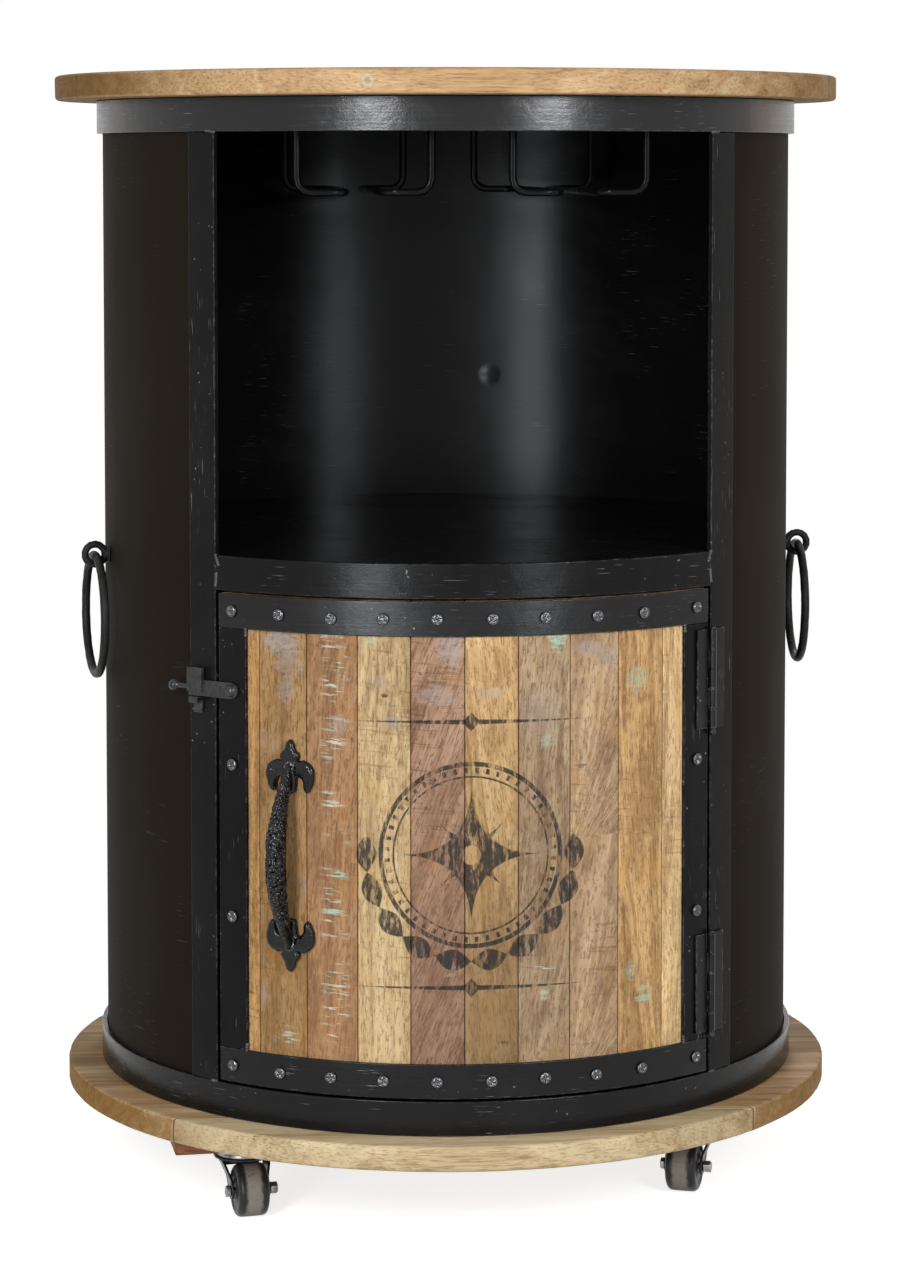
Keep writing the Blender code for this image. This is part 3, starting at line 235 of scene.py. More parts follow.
class StudioSettings(bpy.types.PropertyGroup):
    """Camera, lamps and floor."""

    azimuth: angle("Azimuth", "Camera's turn about the axis", -3.9)
    distance: length("Distance", "Camera's distance from the axis", 3.25)
    height: length("Height", "Camera's height above the floor", 0.9272)
    tilt: angle("Tilt", "Camera's tilt downward", 3.6069)
    pan: angle("Pan", "Camera's pan to the right of the axis", 0.2437)
    lens: FloatProperty(
        name="Lens", description="Focal length on a 36 mm sensor", default=98.284, unit="CAMERA"
    )
    shift: FloatProperty(name="Shift", description="Upward shift of the view", default=-0.2)
    lamp_away: length("Lamp distance", "Distance of the softboxes and low cards from the axis", 2.5)
    lamp_width: length("Lamp width", "Width of the softboxes and low cards", 0.50)
    lamp_tall: length("Lamp height", "Height of the softboxes from edge to edge", 0.52)
    lamp_middle: length("Lamp middle", "Height of the front softboxes' middle above the floor", 1.28)
    back_middle: length("Back middle", "Height of the back softbox's middle above the floor", 2.0)
    lamp_tint: tint("Lamp tint", "Colour of the softboxes", (0.90, 0.95, 1.0))
    key_power: power("Key power", "Left softbox", 28.0)
    key_turn: angle("Key turn", "Left softbox's place round the axis", -26.0)
    side_power: power("Side power", "Right softbox", 27.0)
    side_turn: angle("Side turn", "Right softbox's place round the axis", 28.0)
    card_tall: length("Card height", "Height of the low cards from edge to edge", 0.45)
    card_middle: length("Card middle", "Height of the low cards' middle above the floor", 0.475)
    card_tint: tint("Card tint", "Colour of the low cards", (0.88, 0.94, 1))
    left_card: power("Left card", "Low card near the left softbox", 17.0)
    left_card_turn: angle("Left card turn", "Left low card's place round the axis", -26.0)
    right_card: power("Right card", "Low card near the right softbox", 5.0)
    right_card_turn: angle("Right card turn", "Right low card's place round the axis", 24.0)
    back_power: power("Back power", "Softbox behind the cabinet", 26.0)
    back_turn: angle("Back turn", "Back softbox's place round the axis", 168.0)
    left_rim: power("Left rim", "Warm card left of the drum", 0.225)
    left_rim_turn: angle("Left rim turn", "Left warm card's place round the axis", -122.0)
    right_rim: power("Right rim", "Warm card right of the drum", 1.5)
    right_rim_turn: angle("Right rim turn", "Right warm card's place round the axis", 118.0)
    rim_width: length("Rim width", "Width of the warm cards", 0.7)
    rim_tall: length("Rim height", "Height of the warm cards from edge to edge", 1.6)
    rim_away: length("Rim distance", "Distance of the warm cards from the axis", 1.8)
    rim_middle: length("Rim middle", "Height of the warm cards' middle above the floor", 0.8)
    rim_tint: tint("Rim tint", "Colour of the warm cards", (1, 0.55, 0.22))
    fill: tint("Fill", "Light from all round on matt surfaces", (0.12, 0.118, 0.115))
    backdrop: tint("Backdrop", "White room, as the camera, metal and glass see it", (1.0, 1.0, 1.0))
    floor: tint("Floor", "Colour of the floor", (0.80, 0.80, 0.80))
    floor_glow: tint("Floor glow", "Light added to the floor as seen", (0.76, 0.76, 0.76))
    floor_clear: length("Floor clear", "Radius where the floor starts to fade", 0.36)
    floor_end: length("Floor end", "Radius where the floor has faded", 0.85)


def math_node(operation, swapped=False):
    """Operator of a wire that adds a Math node, with its two values swapped in a reflected form."""

    def apply(self, *others):
        values = (*others, self) if swapped else (self, *others)
        return self.finish.math(operation, *values)

    return apply


class Wire:
    """Output of a shader node; arithmetic on it adds Math nodes."""

    def __init__(self, finish, socket):
        self.finish = finish
        self.socket = socket

    __add__ = __radd__ = math_node("ADD")
    __mul__ = __rmul__ = math_node("MULTIPLY")
    __sub__ = math_node("SUBTRACT")
    __rsub__ = math_node("SUBTRACT", swapped=True)
    __truediv__ = math_node("DIVIDE")
    __rtruediv__ = math_node("DIVIDE", swapped=True)
    __gt__ = math_node("GREATER_THAN")
    __lt__ = math_node("LESS_THAN")
    __abs__ = math_node("ABSOLUTE")


def rgba(colour):
    """Colour with full alpha, as sockets take it."""
    return (colour[0], colour[1], colour[2], 1.0)


def tinted(colour, *factors):
    """Colour with each channel made darker or lighter."""
    return [min(1.0, channel * factor) for channel, factor in zip(colour, factors)]


def toned(colour, factor):
    """Colour made darker or lighter."""
    return tinted(colour, factor, factor, factor)


class Finish:
    """Node tree of a material or the world, filled by expressions."""

    def __init__(self, owner):
        owner.use_nodes = True
        self.owner = owner
        self.tree = owner.node_tree
        self.spot = None
        self.tree.nodes.clear()

    def add(self, kind, settings=None, sockets=None, output=0):
        """New node with its settings, then its sockets; gives the wire of one output."""
        node = self.tree.nodes.new(kind)
        for name, value in (settings or {}).items():
            if name == "stops":
                self.set_stops(node.color_ramp, value)
            else:
                setattr(node, name, value)
        for name, value in (sockets or {}).items():
            if isinstance(value, Wire):
                self.tree.links.new(value.socket, node.inputs[name])
            else:
                node.inputs[name].default_value = value
        return Wire(self, node.outputs[output]) if len(node.outputs) else node

    def set_stops(self, ramp, stops):
        """Fill a colour ramp from places and colours."""
        for _ in range(len(stops) - len(ramp.elements)):
            ramp.elements.new(0.5)
        for element, (position, colour) in zip(ramp.elements, stops):
            element.position = position
            element.color = rgba(colour)

    def math(self, operation, *values):
        return self.add("ShaderNodeMath", {"operation": operation}, dict(enumerate(values)))

    def vector(self, operation, *values, output=0):
        settings = {"operation": operation}
        return self.add("ShaderNodeVectorMath", settings, dict(enumerate(values)), output)

    def most(self, first, *others):
        """Highest of several masks."""
        for other in others:
            first = self.math("MAXIMUM", first, other)
        return first

    def reach(self, first, second):
        """Length of the two sides' diagonal."""
        return self.math("SQRT", first * first + second * second)

    def wave(self, value):
        """Sine between 0 and 1."""
        return self.math("SINE", value) * 0.5 + 0.5

    def place(self):
        """Point on the piece, in metres of the frame."""
        if self.spot is None:
            self.spot = self.add("ShaderNodeTexCoord", output="Object")
        return self.spot

    def split(self, vector):
        first = self.add("ShaderNodeSeparateXYZ", sockets={0: vector})
        return [Wire(self, output) for output in first.socket.node.outputs]

    def join(self, across, depth, along):
        return self.add("ShaderNodeCombineXYZ", sockets={0: across, 1: depth, 2: along})

    def noise(self, vector, scale=1.0, detail=2.0, rough=0.5, swirl=0.0):
        sockets = {"Vector": vector, "Scale": scale, "Detail": detail, "Roughness": rough}
        sockets["Distortion"] = swirl
        return self.add("ShaderNodeTexNoise", sockets=sockets)

    def streaked(self, across, depth, along, detail=2.0, rough=0.5, swirl=0.0):
        """Noise at a place that the caller has stretched."""
        return self.noise(self.join(across, depth, along), 1.0, detail, rough, swirl)

    def step(self, value, low, high):
        """Smooth rise from 0 at low to 1 at high."""
        sockets = {"Value": value, "From Min": low, "From Max": high}
        return self.add("ShaderNodeMapRange", {"interpolation_type": "SMOOTHSTEP"}, sockets)

    def mix(self, factor, first, second):
        """Blend of two colours."""
        sockets = {0: factor}
        for place, colour in ((6, first), (7, second)):
            sockets[place] = colour if isinstance(colour, Wire) else rgba(colour)
        return self.add("ShaderNodeMix", {"data_type": "RGBA"}, sockets, 2)

    def ramp(self, value, stops, interpolation="LINEAR"):
        ramp = self.add("ShaderNodeValToRGB", {"stops": stops}, {0: value})
        ramp.socket.node.color_ramp.interpolation = interpolation
        return ramp

    def edge(self, radius):
        """Nearness to an edge, from the turn of the rounded normal."""
        rounded = self.add("ShaderNodeBevel", {"samples": 4}, {"Radius": radius})
        true = self.add("ShaderNodeNewGeometry", output="Normal")
        return 1.0 - self.vector("DOT_PRODUCT", rounded, true, output="Value")

    def bump(self, height, distance, normal=None):
        """Bumped normal, over another one where it is given."""
        under = {} if normal is None else {"Normal": normal}
        return self.add("ShaderNodeBump", sockets={"Distance": distance, "Height": height, **under})

    def looked_at(self):
        """One for rays of the camera and of mirrors and clear things, nought for light on matt surfaces."""
        kinds = ("Camera", "Glossy", "Transmission")
        return self.most(*[self.add("ShaderNodeLightPath", output=f"Is {kind} Ray") for kind in kinds])

    def surface(self, **sockets):
        """Set a Principled surface and give its material; names have underscores for spaces."""
        named = {name.replace("_", " "): value for name, value in sockets.items()}
        shader = self.add("ShaderNodeBsdfPrincipled", sockets=named)
        self.add("ShaderNodeOutputMaterial", sockets={"Surface": shader})
        return self.owner


def new_finish(name):
    """Finish that fills a new material."""
    return Finish(bpy.data.materials.new(name))


def bar_run(tree, run):
    """Places along and across the run of a bar: round the drum, up it, or over a flat plate."""
    across, depth, along = tree.split(tree.place())
    if run == "flat":
        return across, depth
    around = tree.math("ARCTAN2", across, depth * -1.0) * DRUM_RADIUS
    return (along, around) if run == "up" else (around, along)


def scuffs(tree, run):
    """Thin short scratches along a bar, in loose patches."""
    long, short = bar_run(tree, run)
    lines = tree.step(tree.streaked(long * 40.0, short * 800.0, 0.0), 0.64, 0.72)
    patches = tree.step(tree.noise(tree.place(), 15.0, 2.0), 0.53, 0.64)
    return lines * patches


def paint_finish(name, colours, low, high, wear, run="round", gloss=PAINT_GLOSS):
    """Satin black film on steel: orange peel, ripples, draw marks, scuffs and rubbed edges."""
    tree = new_finish(name)
    place = tree.place()
    long, short = bar_run(tree, run)
    cloud = tree.noise(place, 11.0, 4.0, 0.62)
    ripple = tree.noise(place, 38.0, 3.0)
    peel = tree.noise(place, 560.0, 2.0)
    drawn = tree.streaked(long * 10.0, short * 480.0, 0.0, 3.0, 0.6)
    rub = tree.noise(place, 150.0, 4.0, 0.7)
    near = tree.step(tree.edge(0.0018), 0.02, 0.24)
    worn = near * tree.step(rub + cloud * 0.35, 0.62, 0.80) * wear
    marks = scuffs(tree, run) * wear
    fleck = tree.step(tree.noise(place, 320.0, 0.0), 0.815, 0.84) * tree.step(cloud, 0.48, 0.58) * wear
    colour = tree.mix(tree.step(cloud, 0.45, 0.75) * 0.4, colours.paint, colours.paint_dust)
    colour = tree.mix(marks * 0.42, colour, colours.bare_steel)
    colour = tree.mix(worn * 0.75, colour, colours.bare_steel)
    colour = tree.mix(fleck * 0.30, colour, colours.chip_white)
    roughness = low + tree.step(cloud * 0.6 + drawn * 0.4, 0.38, 0.64) * (high - low)
    height = ripple * 0.5 + peel * 0.075 + drawn * 0.06 + marks * -0.03 + worn * -0.06
    return tree.surface(Base_Color=colour, Roughness=roughness, Metallic=worn * 0.6, Specular_IOR_Level=gloss,
                        Normal=tree.bump(height, 0.0010))


def shell_finish(name, colours, sizes):
    """Sheet of the drum: dull outside, glossy inside, with a flatter, dented back that leans at its foot; the
    brownish outside colour is a painted warm reflection.
    """
    tree = new_finish(name)
    place = tree.place()
    across, depth, along = tree.split(place)
    radius = tree.reach(across, depth)
    inner = tree.step(radius, sizes.sheet_middle + 0.0002, sizes.sheet_middle - 0.0002)
    cloud = tree.noise(place, 6.5, 4.0, 0.55)
    smear = tree.streaked(across * 13.0 + along * 9.0, depth * 13.0, along * 24.0, 4.0, 0.6, 0.5)
    ripple = tree.streaked(across * 8.0, depth * 8.0, along * 3.5)
    peel = tree.noise(place, 480.0, 2.0)
    marks = scuffs(tree, "round")
    outside = 0.72 + cloud * 0.16
    inside = 0.13 + cloud * 0.12 + smear * 0.12
    roughness = inside * inner + outside * (1.0 - inner)
    colour = tree.mix(tree.step(smear, 0.40, 0.80) * 0.35, colours.paint, colours.paint_dust)
    # Painted reflection: the outside of the sheet takes a brownish colour that stands in for warm light
    # reflected on the drum's sides, while the inside keeps the black paint
    colour = tree.mix(inner, colours.shell_paint, colour)
    colour = tree.mix(marks * 0.16, colour, colours.bare_steel)
    spot = (sizes.dent_side, math.sqrt(sizes.sheet_middle ** 2 - sizes.dent_side ** 2), sizes.dent_height)
    away = tree.vector("DISTANCE", place, spot, output="Value")
    dent = tree.step(away, sizes.dent_radius, sizes.dent_radius * 0.1) * inner
    offset = (across - sizes.flat_side) / sizes.flat_reach
    flat = tree.math("EXPONENT", offset * offset * -1.0) * inner * tree.step(depth, 0.0, 0.1)
    foot = tree.step(along, sizes.foot_top, sizes.foot_top - sizes.foot_tall) * inner
    rolled = tree.bump(flat + foot * (sizes.foot_depth / sizes.flat_depth), sizes.flat_depth)
    height = ripple * 0.7 + smear * 0.10 + peel * 0.020 + dent * 0.42
    return tree.surface(Base_Color=colour, Roughness=roughness, Specular_IOR_Level=SHELL_GLOSS,
                        Normal=tree.bump(height, 0.0018, rolled))


def iron_finish(name, colour, bare, low, high, hammer, gloss, wear=0.45):
    """Hand-worked black iron: hammer marks, dull patches and rubbed edges."""
    tree = new_finish(name)
    place = tree.place()
    beaten = tree.noise(place, 150.0, 2.0, 0.5, 0.4)
    grain = tree.noise(place, 900.0, 3.0)
    rub = tree.noise(place, 330.0, 4.0, 0.7)
    worn = tree.step(tree.edge(0.0015), 0.03, 0.30) * tree.step(rub, 0.50, 0.68)
    dull = tree.step(beaten, 0.35, 0.65)
    base = tree.mix(dull * 0.5, toned(colour, 0.7), toned(colour, 1.7))
    base = tree.mix(worn * wear, base, bare)
    roughness = low + dull * (high - low)
    return tree.surface(Base_Color=base, Roughness=roughness, Metallic=worn * 0.7, Specular_IOR_Level=gloss,
                        Normal=tree.bump(beaten * hammer + grain * 0.04, 0.0010))


def plated_finish(name, colour, grime_and_shade, low=0.30, high=0.58):
    """Dull plated steel with patches of grime."""
    tree = new_finish(name)
    place = tree.place()
    cloud = tree.noise(place, 90.0, 4.0, 0.65)
    spangle = tree.noise(place, 420.0, 2.0)
    dirty = tree.step(cloud, 0.42, 0.68)
    base = tree.mix(dirty * 0.75, colour, grime_and_shade)
    base = tree.mix(tree.step(spangle, 0.5, 0.7) * 0.25, base, toned(colour, 1.4))
    return tree.surface(Base_Color=base, Roughness=low + dirty * (high - low), Metallic=1.0 - dirty * 0.55,
                        Normal=tree.bump(spangle * 0.5 + cloud * 0.5, 0.0002))


def screw_finish(name, colour, grime_and_shade):
    """Blackened screw heads: painted shade where they meet the strip, grime in random patches, and the
    screw's own steel on their crowns.
    """
    tree = new_finish(name)
    place = tree.place()
    east, north, _ = tree.split(place)
    level = tree.vector("NORMALIZE", tree.join(east, north, 0.0))
    facing = tree.add("ShaderNodeNewGeometry", output="Normal")
    crown = tree.vector("DOT_PRODUCT", level, facing, output="Value")
    rub = tree.noise(place, 700.0, 3.0, 0.6)
    # Painted shade: the sides of each head, turned away from the drum's outward direction, take the dark
    # colour as a stand-in for the shadow round the head; the rub noise adds grime in patches
    shown = tree.step(crown, 0.25, 0.75) * tree.step(rub, 0.20, 0.50)
    return tree.surface(Base_Color=tree.mix(shown, grime_and_shade, colour), Roughness=0.09 + rub * 0.12,
                        Metallic=0.35 + shown * 0.6, Normal=tree.bump(rub, 0.0002))


def wheel_finish(name, colours, half_width, radius):
    """Black wheel with dust worn into the middle of its tread; the axle is the piece's X axis."""
    tree = new_finish(name)
    place = tree.place()
    across, depth, along = tree.split(place)
    out = tree.reach(depth, along)
    smear = tree.noise(place, 130.0, 4.0, 0.7)
    speck = tree.noise(place, 700.0, 2.0)
    band = tree.step(abs(across) + (smear - 0.5) * 0.006, half_width * 0.62, half_width * 0.34)
    dusty = band * tree.step(out, radius * 0.93, radius * 0.985) * tree.step(smear + speck * 0.3, 0.34, 0.62)
    base = tree.mix(smear * 0.4, colours.rubber, toned(colours.rubber, 2.2))
    base = tree.mix(dusty * 0.9, base, colours.dust)
    return tree.surface(Base_Color=base, Roughness=0.36 + dusty * 0.45, Specular_IOR_Level=0.2,
                        Normal=tree.bump(smear * 0.6 + speck * 0.2, 0.0005))


def timber(tree, along, across, depth, seed):
    """Figure, bands, fibres and short pores of wood whose fibres run along the first value."""
    figure = tree.streaked(across * 30.0, depth * 30.0, along * 3.0 + seed, 3.0, 0.5, 0.9)
    bands = tree.wave(figure * 30.0 + across * 150.0)
    fibre = tree.streaked(across * 460.0, depth * 460.0, along * 24.0 + seed, 4.0, 0.68)
    pores = tree.streaked(across * 640.0, depth * 640.0, along * 92.0 + seed, 2.0, 0.6)
    return figure, bands, fibre, tree.step(pores, 0.535, 0.655)


def wood_colours(tree, tone, grain):
    """Dark, middle and light tones of one wood, spread over its figure and fibres."""
    figure, bands, fibre, pores = grain
    value = figure * 0.42 + bands * 0.14 + fibre * 0.50
    stops = [
        (0.36, tinted(tone, 0.56, 0.49, 0.42)),
        (0.47, tinted(tone, 0.90, 0.87, 0.83)),
        (0.57, tinted(tone, 1.14, 1.14, 1.10)),
        (0.69, tinted(tone, 1.42, 1.50, 1.52)),
    ]
    colour = tree.ramp(value, stops)
    return tree.mix(pores * 0.62, colour, tinted(tone, 0.44, 0.37, 0.30))


def plank_rows(tree, depth, seams):
    """Number of each plank from the front, and the lines between planks."""
    row = 0.0
    nearest = 1.0
    for seam in seams:
        row = (depth > seam) + row
        nearest = tree.math("MINIMUM", abs(depth - seam), nearest)
    return row, tree.step(nearest, 0.0009, 0.0003)


def plank_tones(tree, depth, seams, tones, reach):
    """Own tone for each plank from the front."""
    places = [0.0] + [(seam + reach) / (2.0 * reach) for seam in seams]
    return tree.ramp((depth + reach) / (2.0 * reach), list(zip(places, tones)), "CONSTANT")


def board_finish(name, colours, seams, tones, ends, end_tone, reach, seed, knot=None):
    """Planked round board: grain from left to right, end grain at both sides, seams and a worn rim."""
    tree = new_finish(name)
    place = tree.place()
    across, depth, along = tree.split(place)
    row, seam = plank_rows(tree, depth, seams)
    figure, bands, fibre, pores = timber(tree, across * 0.45, depth, along, row * 7.3 + seed)
    value = figure * 0.46 + bands * 0.12 + fibre * 0.50
    white = (1.0, 1.0, 1.0)
    shades = [(0.36, (0.50, 0.44, 0.36)), (0.47, (0.86, 0.83, 0.78)), (0.57, white), (0.70, white)]
    sockets = {0: 1.0, 6: plank_tones(tree, depth, seams, tones, reach), 7: tree.ramp(value, shades)}
    colour = tree.add("ShaderNodeMix", {"data_type": "RGBA", "blend_type": "MULTIPLY"}, sockets, 2)
    colour = tree.mix(tree.step(value, 0.56, 0.72) * 0.5, colour, toned(colours.board_pale, 1.3))
    colour = tree.mix(pores * 0.36, colour, toned(colours.board_brown, 0.45))
    facing = tree.split(tree.add("ShaderNodeTexCoord", output="Normal"))
    end = tree.step(facing[0], -0.58, -0.92) * ends[0] + tree.step(facing[0], 0.58, 0.92) * ends[1]
    dots = tree.step(tree.streaked(across * 40.0, depth * 700.0, along * 700.0), 0.54, 0.66)
    rings = tree.wave((tree.noise(place, 16.0, 2.0, 0.5, 0.8) + along * 6.0) * 60.0)
    colour = tree.mix(end * 0.92, colour, end_tone)
    colour = tree.mix(end * (dots * 0.42 + rings * 0.36), colour, toned(end_tone, 0.40))
    stain = tree.step(tree.noise(place, 14.0, 4.0, 0.65), 0.54, 0.80)
    colour = tree.mix(stain * 0.40, colour, toned(colours.board_brown, 0.75))
    chipped = tree.noise(place, 110.0, 4.0, 0.7)
    nick = tree.step(tree.edge(0.0030), 0.02, 0.22) * tree.step(chipped, 0.50, 0.64)
    colour = tree.mix(nick * 0.45, colour, toned(colours.board_pale, 1.2))
    colour = tree.mix(seam * 0.8, colour, toned(colours.board_brown, 0.22))
    height = fibre * 0.45 + figure * 0.25 + pores * -0.35 + seam * -1.0
    if knot is not None:
        spot, size = knot
        away = tree.vector("DISTANCE", place, spot, output="Value")
        away = away + (tree.noise(place, 380.0, 3.0) - 0.5) * (size * 0.8)
        filled = tree.step(away, size, size * 0.6)
        ring = tree.step(abs(away - size * 0.55), size * 0.34, size * 0.05)
        colour = tree.mix(filled * 0.45, colour, toned(colours.board_brown, 0.8))
        colour = tree.mix(ring * 0.35, colour, colours.board_chip)
        height = height + ring * 0.4
    return tree.surface(Base_Color=colour, Roughness=0.54 + fibre * 0.22, Specular_IOR_Level=WOOD_GLOSS,
                        Normal=tree.bump(height, 0.0006))


def batten_finish(name, colours):
    """Rough sawn reddish wood, grain from left to right."""
    tree = new_finish(name)
    across, depth, along = tree.split(tree.place())
    grain = timber(tree, across, depth, along, 3.0)
    saw = tree.wave(across * 2400.0 + grain[0] * 9.0)
    colour = tree.mix(saw * 0.25, wood_colours(tree, colours.batten, grain), toned(colours.batten, 0.5))
    height = grain[2] * 0.6 + saw * 0.3 + grain[3] * -0.5
    return tree.surface(Base_Color=colour, Roughness=0.62 + grain[2] * 0.2, Normal=tree.bump(height, 0.0006))


def ring_mask(tree, radius, middle, width):
    """Line of a printed ring."""
    return tree.step(abs(radius - middle), width / 2 + 0.0004, width / 2 - 0.0002)


def star_mask(tree, first, second, reach):
    """Four-pointed star with hollow sides along two axes."""
    hollow = tree.math("SQRT", abs(first) / reach) + tree.math("SQRT", abs(second) / reach)
    return tree.step(hollow, 1.02, 0.98)


def ornament(tree, across, along, sizes):
    """Printed compass star in a ring, with leaves round its foot and ruled lines above and below."""
    size = sizes.ornament_radius
    diagonal = 0.7071
    rise = along - sizes.ornament_height
    radius = tree.reach(across, rise)
    turn = tree.math("ARCTAN2", across, rise)
    outer = ring_mask(tree, radius, size, 0.0038)
    inner = ring_mask(tree, radius, size * 0.86, 0.0014)
    main = star_mask(tree, across, rise, size * 0.80)
    minor = star_mask(tree, (across + rise) * diagonal, (rise - across) * diagonal, size * 0.52)
    minor = minor * ring_mask(tree, radius, size * 0.40, size * 0.42)
    star = tree.most(main, minor) * tree.step(radius, size * 0.10, size * 0.115)
    dots = tree.step(abs(tree.math("SINE", turn * 24.0)), 0.80, 0.92)
    beads = dots * ring_mask(tree, radius, size * 0.93, 0.0045)
    width = abs(tree.math("SINE", turn * 9.0)) * (size * 0.115)
    leaves = tree.step(abs(radius - size * 1.17) - width, 0.0006, -0.0004)
    leaves = leaves * tree.step(rise, size * 0.25, size * 0.15)
    away = abs(abs(rise) - size * 1.46)
    bar = tree.step(away - 0.0022 + abs(across) * 0.022, 0.0004, -0.0003)
    diamond = tree.step(abs(across) + away, 0.0085, 0.0075)
    return tree.most(outer, inner, star, beads, leaves, bar, diamond)


class StaveMarks(NamedTuple):
    """Marks of one stave, as shares of the strongest, with the lean of its fibres and its foot's tone."""

    chips: float = 0.0
    teal: float = 0.0
    sawn: float = 0.2
    haze: float = 0.0
    lean: float = 0.0
    foot: float = 1.0
    fans: bool = False


class Patch(NamedTuple):
    """Worn spot of a stave: right of its middle, height, half width, half height, colour and strength."""

    side: float
    height: float
    reach: float
    rise: float
    colour: str
    strength: float


STAVE_MARKS = {
    1: StaveMarks(sawn=0.5),
    2: StaveMarks(chips=0.1, sawn=0.25, haze=0.45, foot=1.12),
    3: StaveMarks(chips=1.0, teal=0.45, sawn=0.15, lean=4.0, foot=1.15),
    4: StaveMarks(sawn=0.40, foot=1.05),
    5: StaveMarks(chips=0.35, sawn=0.30, haze=0.30, lean=20.0, foot=0.70),
    6: StaveMarks(sawn=0.25, lean=-6.0, foot=0.30),
    7: StaveMarks(chips=0.10, teal=0.6, sawn=0.20, haze=0.40, lean=4.0, foot=0.80),
    8: StaveMarks(sawn=0.80, haze=0.30, foot=0.88, fans=True),
    9: StaveMarks(sawn=0.35, haze=0.05, lean=-3.0, foot=0.95),
    10: StaveMarks(sawn=0.6),
}
STAVE_PATCHES = {
    2: (
        Patch(-0.001, 0.520, 0.020, 0.012, "old_grey", 0.75),
        Patch(0.006, 0.503, 0.017, 0.016, "old_grey", 0.45),
        Patch(0.004, 0.478, 0.009, 0.014, "old_grey", 0.40),
    ),
    3: (
        Patch(-0.001, 0.530, 0.019, 0.005, "chip_white", 0.60),
        Patch(0.005, 0.452, 0.010, 0.012, "old_grey", 0.40),
    ),
    4: (
        Patch(-0.010, 0.526, 0.008, 0.007, "chip_teal", 0.40),
        Patch(0.001, 0.478, 0.0035, 0.0022, "crack", 0.85),
        Patch(0.008, 0.455, 0.013, 0.007, "old_grey", 0.45),
        Patch(-0.006, 0.489, 0.014, 0.006, "old_grey", 0.35),
    ),
    5: (
        Patch(0.012, 0.517, 0.015, 0.018, "old_grey", 0.65),
        Patch(-0.015, 0.497, 0.0026, 0.0018, "crack", 0.80),
        Patch(-0.002, 0.478, 0.021, 0.010, "old_grey", 0.45),
    ),
    6: (
        Patch(-0.002, 0.480, 0.013, 0.005, "old_grey", 0.45),
        Patch(0.010, 0.180, 0.006, 0.002, "crack", 0.60),
    ),
    7: (
        Patch(0.012, 0.526, 0.010, 0.013, "chip_teal", 0.85),
        Patch(0.002, 0.438, 0.006, 0.008, "chip_teal", 0.40),
        Patch(-0.004, 0.460, 0.022, 0.030, "old_grey", 0.30),
        Patch(0.000, 0.220, 0.005, 0.007, "chip_white", 0.50),
    ),
    8: (
        Patch(-0.006, 0.515, 0.014, 0.008, "old_grey", 0.65),
        Patch(0.012, 0.506, 0.010, 0.012, "old_grey", 0.50),
        Patch(-0.013, 0.415, 0.006, 0.0022, "crack", 0.75),
        Patch(0.012, 0.529, 0.012, 0.0020, "crack", 0.55),
    ),
    9: (
        Patch(-0.005, 0.486, 0.011, 0.012, "chip_teal", 0.40),
        Patch(0.004, 0.208, 0.011, 0.0036, "chip_teal", 0.80),
        Patch(0.002, 0.217, 0.008, 0.0028, "chip_teal", 0.60),
        Patch(-0.012, 0.233, 0.006, 0.010, "chip_teal", 0.40),
    ),
}


def fanned(tree, across, along, middle):
    """Across and along of fibres that fan out from two points at the left edge of a stave."""
    tall = DOOR_HIGH - DOOR_LOW
    start = (along > DOOR_LOW + tall * 0.52) * (tall * 0.47) + (DOOR_LOW - tall * 0.04)
    east = across - (middle - 0.026)
    north = along - start
    turn = tree.math("ARCTAN2", east, north)
    return turn * turn * 0.10 + turn * 0.06, tree.reach(east, north)


def old_paint(tree, colour, colours, marks, across, along, depth, middle, number, front):
    """Stacked level dashes of old paint in the middle of a stave's front."""
    band = tree.step(abs(across - middle - 0.003), 0.017, 0.004) * front
    dash = tree.streaked(across * 40.0, depth, along * 340.0 + across * 18.0 + number * 3.0, 3.0, 0.68)
    where = tree.streaked(across * 12.0, depth, along * 34.0 + number * 1.7, 1.0)
    share = 0.29 * marks.chips
    old = tree.step(dash, 0.53, 0.62) * tree.step(where, 0.70 - share, 0.78 - share) * band
    tone = tree.streaked(across * 30.0, depth, along * 40.0 + number, 0.0)
    tealed = tree.step(tone, 0.66 - marks.teal * 0.3, 0.72 - marks.teal * 0.3)
    return tree.mix(old * 0.85, colour, tree.mix(tealed, colours.chip_white, colours.chip_teal)), old


def worn_patch(tree, colour, colours, patch, across, along, middle, streak):
    """One worn spot with a ragged, streaked outline."""
    wide = (across - (middle + patch.side)) / patch.reach
    tall = (along - patch.height) / patch.rise
    away = wide * wide + tall * tall + (streak - 0.5) * 4.2
    mask = tree.step(away, 1.1, -0.1)
    return tree.mix(mask * patch.strength, colour, getattr(colours, patch.colour))


